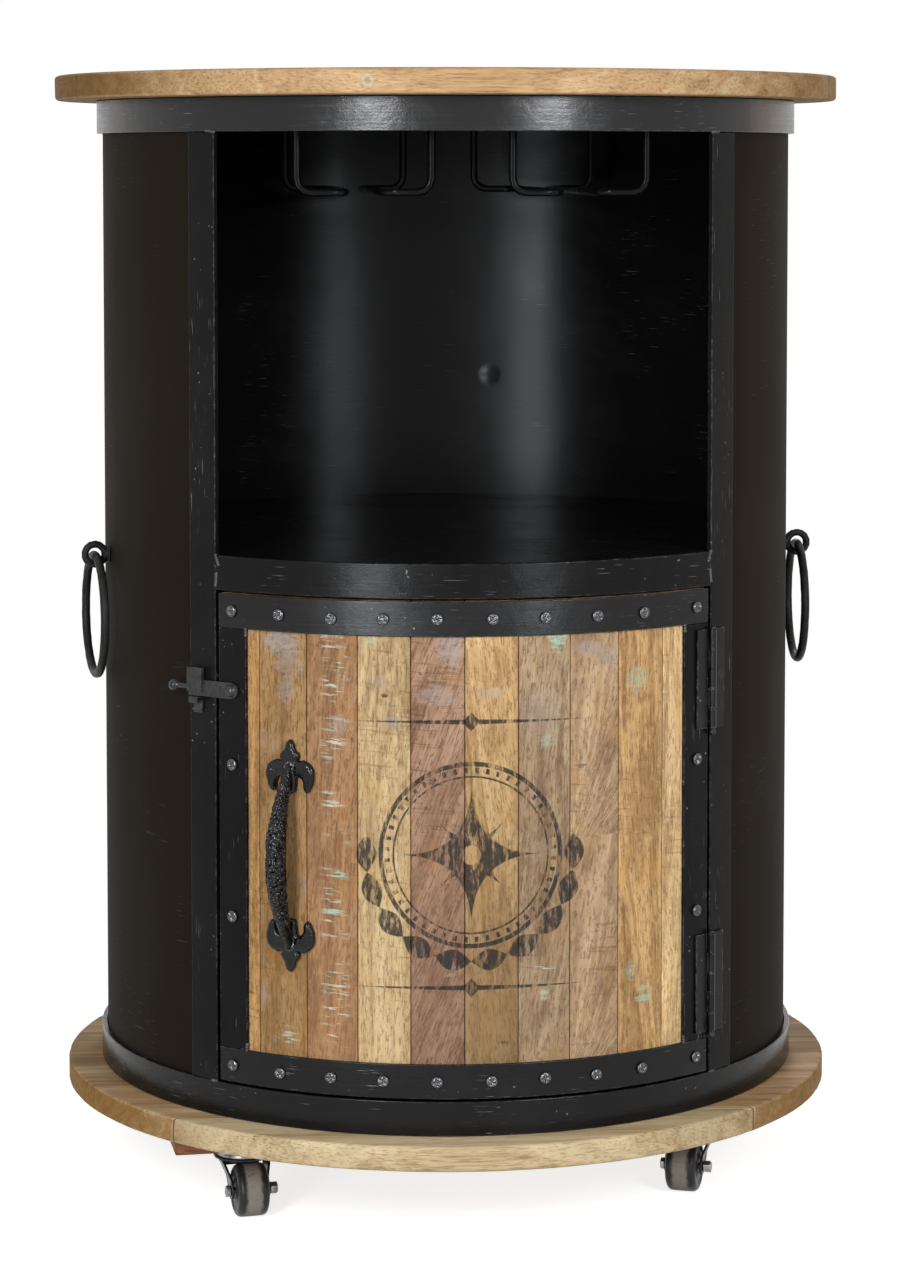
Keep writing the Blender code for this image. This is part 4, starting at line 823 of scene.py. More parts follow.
def stave_finish(number, colours, sizes):
    """Reclaimed stave: its own wood with upright grain, saw marks, old paint and the worn print."""
    tree = new_finish(f"stave_wood_{number:02d}")
    marks = STAVE_MARKS[number]
    tone = getattr(colours, f"stave_{number:02d}")
    middle = math.radians(node_angle(f"door_stave_{number:02d}")) * DRUM_RADIUS
    east, north, along = tree.split(tree.place())
    across = tree.math("ARCTAN2", east, north * -1.0) * DRUM_RADIUS
    depth = tree.reach(east, north)
    radii = np.linalg.norm(node_points(f"door_stave_{number:02d}")[:, :2], axis=1)
    front = depth > float(radii.min() + radii.max()) / 2
    sway = tree.streaked(across * 10.0, depth, along * 9.0 + number, 1.0) * 0.012
    leaning = across - along * math.tan(math.radians(marks.lean)) + sway
    run = along
    if marks.fans:
        leaning, run = fanned(tree, across + sway * 0.3, along, middle)
    grain = timber(tree, run, leaning, depth, number * 5.7)
    figure, _, fibre, pores = grain
    colour = wood_colours(tree, tone, grain)
    mottle = tree.streaked(across * 210.0, depth, along * 120.0 + number, 4.0, 0.75)
    colour = tree.mix(tree.step(mottle, 0.52, 0.68) * 0.62, colour, tinted(tone, 0.48, 0.41, 0.36))
    colour = tree.mix(tree.step(mottle, 0.48, 0.32) * 0.50, colour, tinted(tone, 1.42, 1.42, 1.22))
    blotch = tree.streaked(across * 28.0, depth, along * 17.0 + number * 2.1, 3.0, 0.6)
    colour = tree.mix(tree.step(blotch, 0.52, 0.70) * 0.5, colour, tinted(tone, 0.62, 0.54, 0.48))
    colour = tree.mix(tree.step(blotch, 0.47, 0.30) * 0.45, colour, tinted(tone, 1.18, 1.0, 0.66))
    colour = tree.mix(tree.step(along, DOOR_HIGH, DOOR_LOW) * abs(1.0 - marks.foot), colour,
                      tinted(tone, 0.25, 0.24, 0.25) if marks.foot < 1.0 else toned(tone, 1.9))
    blade = tree.streaked(across * 20.0, depth, along * 420.0 + across * 30.0 + number, 3.0, 0.6)
    sawn = tree.streaked(across * 12.0, depth, along * 8.0 - number)
    cut = tree.step(blade, 0.58, 0.70) * tree.step(sawn, 0.64 - marks.sawn * 0.22, 0.74 - marks.sawn * 0.20)
    colour = tree.mix(cut * (0.20 + marks.sawn * 0.30), colour, tinted(tone, 0.34, 0.28, 0.24))
    film = tree.streaked(across * 24.0, depth, along * 20.0 + number * 4.3, 4.0, 0.65)
    hazy = tree.step(film, 0.62 - marks.haze * 0.10, 0.80 - marks.haze * 0.10) * marks.haze
    colour = tree.mix(hazy * 0.75, colour, colours.old_grey)
    streak = tree.streaked(across * 110.0, depth, along * 330.0 + number, 4.0, 0.75)
    for patch in STAVE_PATCHES.get(number, ()):
        colour = worn_patch(tree, colour, colours, patch, across, along, middle, streak)
    height = fibre * 0.4 + figure * 0.3 + pores * -0.40 + cut * -0.5
    if marks.chips > 0.0:
        colour, old = old_paint(tree, colour, colours, marks, across, along, depth, middle, number, front)
        height = height + old * 0.25
    fade = tree.step(tree.streaked(across * 240.0, depth, along * 60.0, 4.0, 0.7), 0.64, 0.46)
    print_mask = ornament(tree, across, along, sizes) * front
    colour = tree.mix(print_mask * (0.18 + fade * 0.74), colour, colours.ink)
    rim = tree.step(tree.edge(0.0016), 0.02, 0.25)
    colour = tree.mix(rim * 0.38, colour, toned(tone, 0.34))
    return tree.surface(Base_Color=colour, Roughness=0.50 + fibre * 0.2, Specular_IOR_Level=WOOD_GLOSS,
                        Normal=tree.bump(height, 0.0007))


def dress(node, material, width, limit=SHARP_TURN):
    """Give a node of the frame its finish, smooth shading and round edges."""
    piece = NODES[node]
    piece.data.materials.clear()
    piece.data.materials.append(material)
    piece.data.shade_smooth()
    if "custom_normal" in piece.data.attributes:
        piece.data.attributes.remove(piece.data.attributes["custom_normal"])
    weld = piece.modifiers.new("Weld", "WELD")
    weld.merge_threshold = SAME_POINT
    bevel = piece.modifiers.new("Edges", "BEVEL")
    bevel.width = width
    bevel.segments = 2
    bevel.limit_method = "ANGLE"
    bevel.angle_limit = math.radians(limit)
    bevel.harden_normals = True


def add_piece(name, mesh, material, body, node=None, place=None):
    """New piece that rides a body, takes a slot and may stand for a node of the frame."""
    for face in mesh.polygons:
        face.use_smooth = True
    mesh.materials.clear()
    mesh.materials.append(material)
    piece = bpy.data.objects.new(name, mesh)
    bpy.context.scene.collection.objects.link(piece)
    if place is not None:
        piece.matrix_world = place
    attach(piece, body)
    if node is not None:
        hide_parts(node)


def mesh_from(name, shape):
    """Mesh of a finished bmesh."""
    bmesh.ops.recalc_face_normals(shape, faces=shape.faces)
    mesh = bpy.data.meshes.new(name)
    shape.to_mesh(mesh)
    shape.free()
    return mesh


def lathe(shape, profile, facets, place=Matrix.Identity(4)):
    """Turn a profile of radii and heights about the Z axis; zero radius makes a pole."""
    rings = []
    for radius, height in profile:
        if radius == 0.0:
            rings.append([shape.verts.new(place @ Vector((0.0, 0.0, height)))])
            continue
        turns = [math.tau * step / facets for step in range(facets)]
        points = [Vector((radius * math.cos(turn), radius * math.sin(turn), height)) for turn in turns]
        rings.append([shape.verts.new(place @ point) for point in points])
    for lower, upper in zip(rings, rings[1:]):
        for step in range(facets):
            after = (step + 1) % facets
            corners = [lower[step % len(lower)], lower[after % len(lower)]]
            corners += [upper[after % len(upper)], upper[step % len(upper)]]
            shape.faces.new(list(dict.fromkeys(corners)))


def arc(radius, start, end, steps, centre):
    """Points on part of a circle, in degrees."""
    turns = [math.radians(start + (end - start) * step / steps) for step in range(steps + 1)]
    return [(centre[0] + radius * math.cos(turn), centre[1] + radius * math.sin(turn)) for turn in turns]


def drum_matrix(radius, angle, height):
    """Place on the drum whose Z axis points outward and whose Y axis points up."""
    turn = math.radians(angle)
    outward = Vector((math.sin(turn), -math.cos(turn), 0.0))
    upward = Vector((0.0, 0.0, 1.0))
    sideways = upward.cross(outward)
    rows = Matrix((sideways, upward, outward)).transposed().to_4x4()
    return Matrix.Translation(outward * radius + upward * height) @ rows


def node_points(node):
    """Corner points of a node as an array."""
    return np.array([vertex.co for vertex in NODES[node].data.vertices])


def node_angle(node):
    """Angle of a node's middle about the axis, in degrees to the right of the front."""
    middle = node_points(node).mean(axis=0)
    return math.degrees(math.atan2(middle[0], -middle[1]))


def node_turns(node):
    """Angles of a node's points about the axis, in degrees to the right of the front."""
    points = node_points(node)
    return np.degrees(np.arctan2(points[:, 0], -points[:, 1]))


def pan_head(shape, diameter, rise, place, turn):
    """Domed screw head with a cross recess."""
    radius = diameter / 2
    upright = 0.35
    recess_reach = radius * 0.60
    recess_half = radius * 0.15
    recess_depth = rise * 0.45
    profile = [(radius, 0.0), (radius, rise * upright)]
    for lift in (15, 30, 45, 57, 68, 78, 85):
        dome = upright + (1.0 - upright) * math.sin(math.radians(lift))
        profile.append((radius * math.cos(math.radians(lift)), rise * dome))
    profile.append((0.0, rise))
    first = len(shape.verts)
    lathe(shape, profile, SCREW_STEPS)
    shape.verts.ensure_lookup_table()
    spin = Matrix.Rotation(turn, 4, "Z")
    for vertex in list(shape.verts)[first:]:
        out = vertex.co.xy.length
        arm = min(abs(vertex.co.x), abs(vertex.co.y))
        if out < recess_reach and arm < recess_half and vertex.co.z > rise * 0.5:
            vertex.co.z -= recess_depth
        vertex.co = place @ spin @ vertex.co


def cast_copy(node, voxel, rounds, depth, scale, swell=0.0, belly=0.0):
    """Copy of a node melted into one hammered skin, swollen all over and more at half height."""
    mesh = NODES[node].data.copy()
    piece = bpy.data.objects.new("melting", mesh)
    bpy.context.scene.collection.objects.link(piece)
    weld = piece.modifiers.new("Weld", "WELD")
    weld.merge_threshold = SAME_POINT
    remesh = piece.modifiers.new("Skin", "REMESH")
    remesh.mode = "VOXEL"
    remesh.voxel_size = voxel
    smooth = piece.modifiers.new("Round", "SMOOTH")
    smooth.iterations = rounds
    bpy.context.view_layer.update()
    done = piece.evaluated_get(bpy.context.evaluated_depsgraph_get())
    skin = bpy.data.meshes.new_from_object(done)
    bpy.data.objects.remove(piece)
    low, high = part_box(node)
    for vertex in skin.vertices:
        part = (2.0 * vertex.co.z - low.z - high.z) / (high.z - low.z) / BELLY_REACH
        bulge = belly * max(0.0, 1.0 - part * part) ** 2
        vertex.co += vertex.normal * (swell + bulge + depth * noise.noise(vertex.co * scale))
    return skin


def board_mesh(name, node, sizes, seed):
    """Round board with rounded, slightly dented edges."""
    low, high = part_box(node)
    radius = high.x
    edge = sizes.board_edge
    profile = [(0.0, low.z)]
    profile += arc(edge, -90.0, 0.0, 4, (radius - edge, low.z + edge))
    profile += arc(edge, 0.0, 90.0, 4, (radius - edge, high.z - edge))
    profile.append((0.0, high.z))
    shape = bmesh.new()
    lathe(shape, profile, BOARD_STEPS)
    for vertex in shape.verts:
        if vertex.co.xy.length < radius * 0.9:
            continue
        point = vertex.co * 60.0 + Vector((seed, 0.0, 0.0))
        dent = max(0.0, noise.noise(point)) + 0.5 * max(0.0, noise.noise(point * 3.1))
        vertex.co.xy *= 1.0 - dent * sizes.board_dent / radius
    return mesh_from(name, shape)


def settings(context):
    """Sizes and colours that the operators work from."""
    return context.scene.cabinet_sizes, context.scene.cabinet_colours


class CABINET_OT_boards(bpy.types.Operator):
    """Make the round top and base boards"""

    bl_idname = "cabinet.boards"
    bl_label = "Boards"

    def execute(self, context):
        sizes, colours = settings(context)
        pale, tan, brown = colours.board_pale, colours.board_tan, colours.board_brown
        dusky = toned(tan, 0.8)
        top_tones = [tan, toned(tan, 0.85), brown, tan, toned(brown, 1.2)]
        base_tones = [pale, dusky, brown, dusky, brown, tan]
        rows = {
            "top_board": (TOP_SEAMS, (1.0, 0.40), 1.0, top_tones),
            "base_board": (BASE_SEAMS, (0.95, 0.85), 1.4, base_tones),
        }
        for seed, (node, (seams, ends, lift, tones)) in enumerate(rows.items()):
            low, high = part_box(node)
            front = -math.sqrt(high.x ** 2 - sizes.knot_side ** 2)
            knot = ((-sizes.knot_side, front, (low.z + high.z) / 2), sizes.knot_radius)
            if node != "top_board":
                knot = None
            end_tone = toned(colours.board_end, lift)
            material = board_finish(
                f"{node}_wood", colours, seams, tones, ends, end_tone, high.x, 11.0 * seed, knot
            )
            mesh = board_mesh(f"round_{node}", node, sizes, 5.0 * seed)
            add_piece(f"round_{node}", mesh, material, "cabinet", node)
        return {"FINISHED"}


class CABINET_OT_battens(bpy.types.Operator):
    """Finish the battens under the base"""

    bl_idname = "cabinet.battens"
    bl_label = "Battens"

    def execute(self, context):
        sizes, colours = settings(context)
        material = batten_finish("batten_wood_sawn", colours)
        for node in ("front_batten", "rear_batten"):
            dress(node, material, sizes.wood_edge)
        return {"FINISHED"}


class CABINET_OT_drum(bpy.types.Operator):
    """Finish the hoops, stiles, rail, shell and plates of the drum"""

    bl_idname = "cabinet.drum"
    bl_label = "Drum"

    def execute(self, context):
        sizes, colours = settings(context)
        stile = paint_finish("stile_paint", colours, low=0.30, high=0.42, wear=1.0, run="up")
        plate = paint_finish("plate_paint", colours, low=0.18, high=0.28, wear=0.4, run="flat", gloss=0.12)
        for node, gloss in HOOPS.items():
            paint = paint_finish(f"{node}_paint", colours, low=0.20, high=0.30, wear=1.0, gloss=gloss)
            dress(node, paint, sizes.steel_edge)
        for node in STILES:
            dress(node, stile, sizes.steel_edge)
        for node in INSIDE:
            dress(node, plate, sizes.steel_edge)
        dress("drum_shell", shell_finish("shell_paint", colours, sizes), sizes.steel_edge / 2)
        return {"FINISHED"}


def bead(shape, start, end, sizes, seed):
    """Chain of small overlapping domes between two places on the drum, given as angle and height."""
    span = Vector(((end[0] - start[0]) * math.radians(1.0) * DRUM_RADIUS, end[1] - start[1]))
    count = max(2, round(span.length / (sizes.weld_width * 0.45)))
    for step in range(count):
        part = step / (count - 1)
        wobble = noise.noise(Vector((seed, step * 0.9, 0.0)))
        size = sizes.weld_width * (0.42 + 0.16 * wobble)
        turn = start[0] + (end[0] - start[0]) * part + 0.12 * wobble
        height = start[1] + (end[1] - start[1]) * part
        rise = sizes.weld_rise * (0.8 + 0.4 * wobble)
        profile = [(size, -rise), (size * 0.92, rise * 0.1), (size * 0.6, rise * 0.65), (0.0, rise)]
        lathe(shape, profile, BEAD_STEPS, drum_matrix(DRUM_RADIUS, turn, height))


class CABINET_OT_welds(bpy.types.Operator):
    """Make the weld beads where bars of the drum and of the door meet"""

    bl_idname = "cabinet.welds"
    bl_label = "Welds"

    def execute(self, context):
        sizes, colours = settings(context)
        steel = colours.bare_steel
        material = iron_finish(
            "weld_steel", toned(steel, 0.25), steel, low=0.18, high=0.34, hammer=0.5, gloss=0.3
        )
        rail_low, rail_high = [corner.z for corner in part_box("mid_rail")]
        hoop_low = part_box("top_hoop")[0].z
        hoop_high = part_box("bottom_hoop")[1].z
        shape = bmesh.new()
        for seed, (side, sign) in enumerate((("left", -1.0), ("right", 1.0))):
            edge = sign * min(abs(turn) for turn in node_turns(f"{side}_stile"))
            runs = {
                0: ((edge, rail_high), (edge - sign * 0.6, rail_high - 0.008)),
                5: ((edge - sign * 0.2, rail_low + 0.014), (edge, rail_low + 0.004)),
                9: ((edge, hoop_low), (edge + sign * 1.6, hoop_low + 0.001)),
                13: ((edge + sign * 0.3, hoop_high), (edge + sign * 1.1, hoop_high)),
            }
            for offset, (start, end) in runs.items():
                bead(shape, start, end, sizes, seed + offset)
        add_piece("frame_welds", mesh_from("frame_welds", shape), material, "cabinet")
        inner = min(abs(turn) for turn in node_turns("door_right_strip")) + 0.15
        shape = bmesh.new()
        for sign in (-1.0, 1.0):
            for height, lift in ((DOOR_HIGH - STRIP_WIDTH, -1.0), (DOOR_LOW + STRIP_WIDTH, 1.0)):
                edge = sign * inner
                bead(shape, (edge, height), (edge, height + lift * 0.005), sizes, sign + lift)
        add_piece("door_welds", mesh_from("door_welds", shape), material, "door")
        return {"FINISHED"}


class CABINET_OT_glass_rails(bpy.types.Operator):
    """Finish the rails for stemmed glasses"""

    bl_idname = "cabinet.glass_rails"
    bl_label = "Glass Rails"

    def execute(self, context):
        sizes, colours = settings(context)
        material = paint_finish("rail_paint", colours, low=0.18, high=0.28, wear=0.5, run="flat")
        for node in GLASS_RAILS:
            dress(node, material, sizes.steel_edge, ROUND_TURN)
        return {"FINISHED"}


class CABINET_OT_door(bpy.types.Operator):
    """Finish the staves and strips of the door"""

    bl_idname = "cabinet.door"
    bl_label = "Door"

    def execute(self, context):
        sizes, colours = settings(context)
        for number in STAVES:
            dress(f"door_stave_{number:02d}", stave_finish(number, colours, sizes), sizes.wood_edge)
        for node, (run, gloss) in STRIPS.items():
            film = f"{node}_paint"
            paint = paint_finish(film, colours, low=0.23, high=0.36, wear=1.2, run=run, gloss=gloss)
            dress(node, paint, sizes.steel_edge)
        return {"FINISHED"}


class CABINET_OT_screws(bpy.types.Operator):
    """Make the screws in the strips of the door"""

    bl_idname = "cabinet.screws"
    bl_label = "Screws"

    def execute(self, context):
        sizes, colours = settings(context)
        material = screw_finish("screw_steel", colours.screw, toned(colours.grime_and_shade, 0.2))
        side = node_angle("door_right_strip")
        columns = [-side] + [node_angle(f"door_stave_{number:02d}") for number in STAVES][1:-1] + [side]
        top = DOOR_HIGH - STRIP_WIDTH * 0.50
        bottom = DOOR_LOW + STRIP_WIDTH * 0.50
        spots = [(angle, height) for height in (top, bottom) for angle in columns]
        tall = DOOR_HIGH - DOOR_LOW
        spots += [(angle, DOOR_LOW + tall * part) for angle in (-side, side) for part in SIDE_SCREWS]
        shape = bmesh.new()
        for number, (angle, height) in enumerate(spots):
            lean = 0.4 * noise.noise(Vector((number * 1.7, 0.0, 0.0)))
            rise = height + 0.0022 * noise.noise(Vector((0.0, number * 2.3, 0.0)))
            place = drum_matrix(DRUM_RADIUS, angle + lean, rise)
            pan_head(shape, sizes.screw_head, sizes.screw_rise, place, number * 0.8)
        add_piece("strip_screws", mesh_from("strip_screws", shape), material, "door")
        return {"FINISHED"}


class CABINET_OT_hinges(bpy.types.Operator):
    """Finish the hinges"""

    bl_idname = "cabinet.hinges"
    bl_label = "Hinges"

    def execute(self, context):
        sizes, colours = settings(context)
        leaf = paint_finish("hinge_paint", colours, low=0.26, high=0.36, wear=1.0, run="up", gloss=0.22)
        pin = iron_finish(
            "hinge_iron", colours.iron, colours.bare_steel, low=0.22, high=0.34, hammer=0.2, gloss=0.2
        )
        for node in HINGE_LEAVES:
            dress(node, leaf, sizes.steel_edge / 2)
        for node in HINGE_PINS:
            dress(node, pin, sizes.steel_edge / 3, ROUND_TURN)
        return {"FINISHED"}


class CABINET_OT_pull(bpy.types.Operator):
    """Make the cast pull and its domed screws"""

    bl_idname = "cabinet.pull"
    bl_label = "Pull"

    def execute(self, context):
        sizes, colours = settings(context)
        material = iron_finish(
            "cast_black", colours.casting, colours.bare_steel, low=0.07, high=0.14, hammer=0.4, gloss=0.30
        )
        mesh = cast_copy(
            "door_pull", voxel=0.0009, rounds=6, depth=sizes.hammer_depth * 1.4, scale=140.0,
            swell=sizes.cast_swell, belly=sizes.grip_swell,
        )
        add_piece("cast_pull", mesh, material, "door", "door_pull")
        self.add_screws(sizes, colours)
        return {"FINISHED"}

    def add_screws(self, sizes, colours):
        """Domed screws in the middle of both fleurs."""
        points = node_points("door_pull")
        low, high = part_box("door_pull")
        radii = np.linalg.norm(points[:, :2], axis=1)
        angles = node_turns("door_pull")
        shape = bmesh.new()
        for number, height in enumerate((low.z + sizes.pull_screw_inset, high.z - sizes.pull_screw_inset)):
            near = np.abs(points[:, 2] - height) < sizes.pull_screw
            face = float(np.percentile(radii[near], 60))
            place = drum_matrix(face, float(np.median(angles)), height)
            pan_head(shape, sizes.pull_screw, sizes.screw_rise, place, 0.5 + number)
        material = screw_finish("pull_screw_steel", toned(colours.screw, 0.6), toned(colours.grime_and_shade, 0.2))
        add_piece("pull_screws", mesh_from("pull_screws", shape), material, "door")


class CABINET_OT_latch(bpy.types.Operator):
    """Finish the swing latch and its hook"""

    bl_idname = "cabinet.latch"
    bl_label = "Latch"

    def execute(self, context):
        sizes, colours = settings(context)
        iron = toned(colours.iron, 1.6)
        material = iron_finish(
            "latch_iron", iron, colours.bare_steel, low=0.10, high=0.20, hammer=0.10, gloss=0.3, wear=0.9
        )
        for node in ("latch_bar", "latch_keeper"):
            dress(node, material, sizes.steel_edge / 2)
        return {"FINISHED"}


class CABINET_OT_rings(bpy.types.Operator):
    """Make the hanging rings and their eye bolts"""

    bl_idname = "cabinet.rings"
    bl_label = "Rings"

    def execute(self, context):
        sizes, colours = settings(context)
        material = iron_finish(
            "ring_iron", colours.iron, colours.bare_steel, low=0.38, high=0.54, hammer=0.4, gloss=0.12
        )
        for side in ("left", "right"):
            mesh = cast_copy(
                f"{side}_eye_bolt", voxel=0.0008, rounds=4, depth=sizes.hammer_depth / 2, scale=200.0
            )
            add_piece(f"{side}_forged_eye", mesh, material, "cabinet", f"{side}_eye_bolt")
            mesh = ring_mesh(f"{side}_ring", sizes.hammer_depth)
            add_piece(f"{side}_forged_ring", mesh, material, f"ring_{side}", f"{side}_ring")
        return {"FINISHED"}


def ring_mesh(node, depth):
    """Round ring laid over a node's own ring, with shallow hammer marks."""
    points = node_points(node)
    centre = (points.min(axis=0) + points.max(axis=0)) / 2
    directions = np.linalg.svd(points - centre, full_matrices=False)[2]
    axis = Vector(directions[2])
    wire = float(np.abs((points - centre) @ directions[2]).max())
    reach = float(np.linalg.norm(points - centre, axis=1).max())
    first = Vector(directions[0])
    second = axis.cross(first)
    shape = bmesh.new()
    loops = []
    for step in range(RING_STEPS):
        turn = math.tau * step / RING_STEPS
        outward = first * math.cos(turn) + second * math.sin(turn)
        middle = Vector(centre) + outward * (reach - wire)
        loop = []
        for part in range(WIRE_STEPS):
            lean = math.tau * part / WIRE_STEPS
            away = outward * math.cos(lean) + axis * math.sin(lean)
            mark = abs(noise.noise((middle + away * wire) * 120.0))
            loop.append(shape.verts.new(middle + away * (wire - depth * mark)))
        loops.append(loop)
    for step, loop in enumerate(loops):
        after = loops[(step + 1) % len(loops)]
        for part in range(WIRE_STEPS):
            beside = (part + 1) % WIRE_STEPS
            shape.faces.new((loop[part], loop[beside], after[beside], after[part]))
    return mesh_from("forged_ring", shape)


def wheel_mesh(half, radius, hub, sizes):
    """Moulded wheel with a rounded tread, turned about its X axis."""
    edge = sizes.tread_round
    dish = half - WHEEL_DISH
    side = [(hub, half), (radius * 0.42, half), (radius * 0.50, dish), (radius * 0.70, dish)]
    profile = [(out, -height) for out, height in side]
    profile += arc(edge, -90.0, 0.0, 6, (radius - edge, -half + edge))
    profile += arc(edge, 0.0, 90.0, 6, (radius - edge, half - edge))
    profile += side[::-1]
    profile.append(profile[0])
    shape = bmesh.new()
    lathe(shape, profile, WHEEL_STEPS, Matrix.Rotation(math.radians(90.0), 4, "Y"))
    bmesh.ops.remove_doubles(shape, verts=shape.verts, dist=1e-6)
    return mesh_from("moulded_wheel", shape)


class CABINET_OT_casters(bpy.types.Operator):
    """Make the wheels and finish the plates, forks and axles of the casters"""

    bl_idname = "cabinet.casters"
    bl_label = "Casters"

    def execute(self, context):
        sizes, colours = settings(context)
        plate = plated_finish("caster_zinc", colours.zinc, toned(colours.grime_and_shade, 1.6))
        fork = plated_finish("caster_fork_steel", colours.fork_steel, toned(colours.grime_and_shade, 0.3))
        for corner in CORNERS:
            for part, steel in (("plate", plate), ("fork", fork), ("axle", plate)):
                dress(f"caster_{part}_{corner}", steel, sizes.steel_edge, CASTER_TURN)
            spin = JOINTS[f"spin_{corner}"]
            axis = Vector(spin["axis"]).normalized()
            centre = Vector(spin["pos_m"])
            points = node_points(f"caster_wheel_{corner}") - np.array(centre)
            offsets = points @ np.array(axis)
            outs = np.linalg.norm(points - np.outer(offsets, np.array(axis)), axis=1)
            half, radius, hub = float(np.abs(offsets).max()), float(outs.max()), float(outs.min())
            turn = Vector((1.0, 0.0, 0.0)).rotation_difference(axis).to_matrix().to_4x4()
            material = wheel_finish(f"wheel_{corner}", colours, half, radius)
            mesh = wheel_mesh(half, radius, hub, sizes)
            add_piece(f"moulded_wheel_{corner}", mesh, material, f"wheel_{corner}",
                      f"caster_wheel_{corner}", Matrix.Translation(centre) @ turn)
        return {"FINISHED"}


def area_lamp(name, build, power, turn, height):
    """Area lamp that faces the middle of the cabinet; its build is colour, width, height and distance."""
    colour, width, tall, distance = build
    target = (CAD_BOX[0].z + CAD_BOX[1].z) / 2
    data = bpy.data.lights.new(name, "AREA")
    data.shape = "RECTANGLE"
    data.size = width
    data.size_y = tall
    data.energy = power
    data.color = colour
    lamp = bpy.data.objects.new(name, data)
    bpy.context.scene.collection.objects.link(lamp)
    lamp.location = (math.sin(turn) * distance, -math.cos(turn) * distance, height)
    lamp.rotation_euler = (Vector((0.0, 0.0, target)) - lamp.location).to_track_quat("-Z", "Y").to_euler()


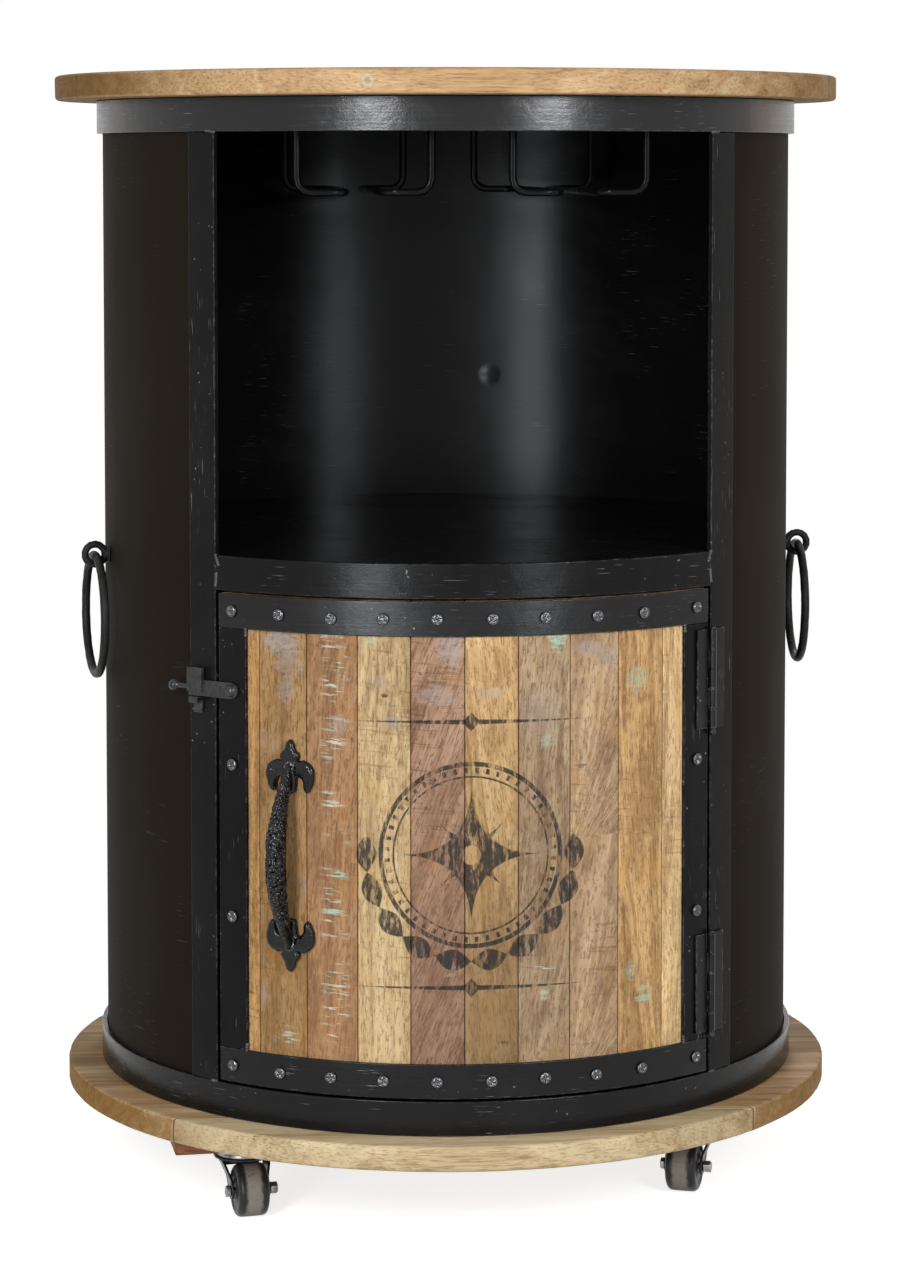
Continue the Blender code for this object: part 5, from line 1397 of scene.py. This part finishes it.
class CABINET_OT_stage(bpy.types.Operator):
    """Set the camera, lamps, room and floor"""

    bl_idname = "cabinet.stage"
    bl_label = "Stage"

    def execute(self, context):
        scene = context.scene
        studio = scene.cabinet_studio
        scene.view_settings.view_transform = "Standard"
        self.add_camera(scene, studio)
        self.add_lamps(studio)
        self.set_room(scene, studio)
        self.add_floor(scene, studio)
        return {"FINISHED"}

    def add_camera(self, scene, studio):
        data = bpy.data.cameras.new("photo_camera")
        data.lens = studio.lens
        data.sensor_width = SENSOR_WIDTH
        data.sensor_fit = "AUTO"
        data.shift_y = studio.shift
        camera = bpy.data.objects.new("photo_camera", data)
        scene.collection.objects.link(camera)
        turn = studio.azimuth
        camera.location = (math.sin(turn) * studio.distance, -math.cos(turn) * studio.distance, studio.height)
        camera.rotation_euler = (math.radians(90.0) - studio.tilt, 0.0, turn - studio.pan)
        scene.camera = camera

    def add_lamps(self, studio):
        box = (studio.lamp_tint, studio.lamp_width, studio.lamp_tall, studio.lamp_away)
        card = (studio.card_tint, studio.lamp_width, studio.card_tall, studio.lamp_away)
        rim = (studio.rim_tint, studio.rim_width, studio.rim_tall, studio.rim_away)
        lamps = {
            "left_softbox": (box, studio.key_power, studio.key_turn, studio.lamp_middle),
            "right_softbox": (box, studio.side_power, studio.side_turn, studio.lamp_middle),
            "back_softbox": (box, studio.back_power, studio.back_turn, studio.back_middle),
            "left_low_card": (card, studio.left_card, studio.left_card_turn, studio.card_middle),
            "right_low_card": (card, studio.right_card, studio.right_card_turn, studio.card_middle),
            "left_rim_card": (rim, studio.left_rim, studio.left_rim_turn, studio.rim_middle),
            "right_rim_card": (rim, studio.right_rim, studio.right_rim_turn, studio.rim_middle),
        }
        for name, lamp in lamps.items():
            area_lamp(name, *lamp)

    def set_room(self, scene, studio):
        world = bpy.data.worlds.new("studio_room")
        scene.world = world
        tree = Finish(world)
        colour = tree.mix(tree.looked_at(), studio.fill, studio.backdrop)
        room = tree.add("ShaderNodeBackground", sockets={"Color": colour})
        tree.add("ShaderNodeOutputWorld", sockets={"Surface": room})

    def add_floor(self, scene, studio):
        shape = bmesh.new()
        bmesh.ops.create_circle(shape, cap_ends=True, radius=studio.floor_end, segments=96)
        floor = bpy.data.objects.new("studio_floor", mesh_from("studio_floor", shape))
        scene.collection.objects.link(floor)
        tree = new_finish("studio_floor_paper")
        across, depth, _ = tree.split(tree.place())
        radius = tree.reach(across, depth)
        glow = tree.mix(tree.looked_at(), (0.0, 0.0, 0.0), studio.floor_glow)
        clear = tree.step(radius, studio.floor_end, studio.floor_clear)
        paper = tree.surface(Base_Color=rgba(studio.floor), Roughness=0.9, Emission_Color=glow,
                             Emission_Strength=1.0, Alpha=clear)
        floor.data.materials.append(paper)


OPERATORS = (
    CABINET_OT_boards,
    CABINET_OT_battens,
    CABINET_OT_drum,
    CABINET_OT_welds,
    CABINET_OT_glass_rails,
    CABINET_OT_door,
    CABINET_OT_screws,
    CABINET_OT_hinges,
    CABINET_OT_pull,
    CABINET_OT_latch,
    CABINET_OT_rings,
    CABINET_OT_casters,
    CABINET_OT_stage,
)


class CABINET_PT_looks(bpy.types.Panel):
    """Sidebar list of the cabinet's pieces"""

    bl_idname = "CABINET_PT_looks"
    bl_label = "Drum Bar Cabinet"
    bl_space_type = "VIEW_3D"
    bl_region_type = "UI"
    bl_category = "Cabinet"

    def draw(self, context):
        for operator in OPERATORS:
            self.layout.operator(operator.bl_idname)


GROUPS = {"cabinet_sizes": CabinetSizes, "cabinet_colours": CabinetColours, "cabinet_studio": StudioSettings}


def register():
    """Register the classes and hang the settings on the scene."""
    for group in (*GROUPS.values(), *OPERATORS, CABINET_PT_looks):
        bpy.utils.register_class(group)
    for name, group in GROUPS.items():
        setattr(bpy.types.Scene, name, PointerProperty(type=group))


def unregister():
    """Take the settings and the classes away again."""
    for name in GROUPS:
        delattr(bpy.types.Scene, name)
    for group in reversed((*GROUPS.values(), *OPERATORS, CABINET_PT_looks)):
        bpy.utils.unregister_class(group)


def main():
    """Dress the cabinet piece by piece."""
    register()
    bpy.ops.cabinet.boards()
    bpy.ops.cabinet.battens()
    bpy.ops.cabinet.drum()
    bpy.ops.cabinet.welds()
    bpy.ops.cabinet.glass_rails()
    bpy.ops.cabinet.door()
    bpy.ops.cabinet.screws()
    bpy.ops.cabinet.hinges()
    bpy.ops.cabinet.pull()
    bpy.ops.cabinet.latch()
    bpy.ops.cabinet.rings()
    bpy.ops.cabinet.casters()
    bpy.ops.cabinet.stage()
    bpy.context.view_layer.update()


if __name__ == "__main__":
    main()
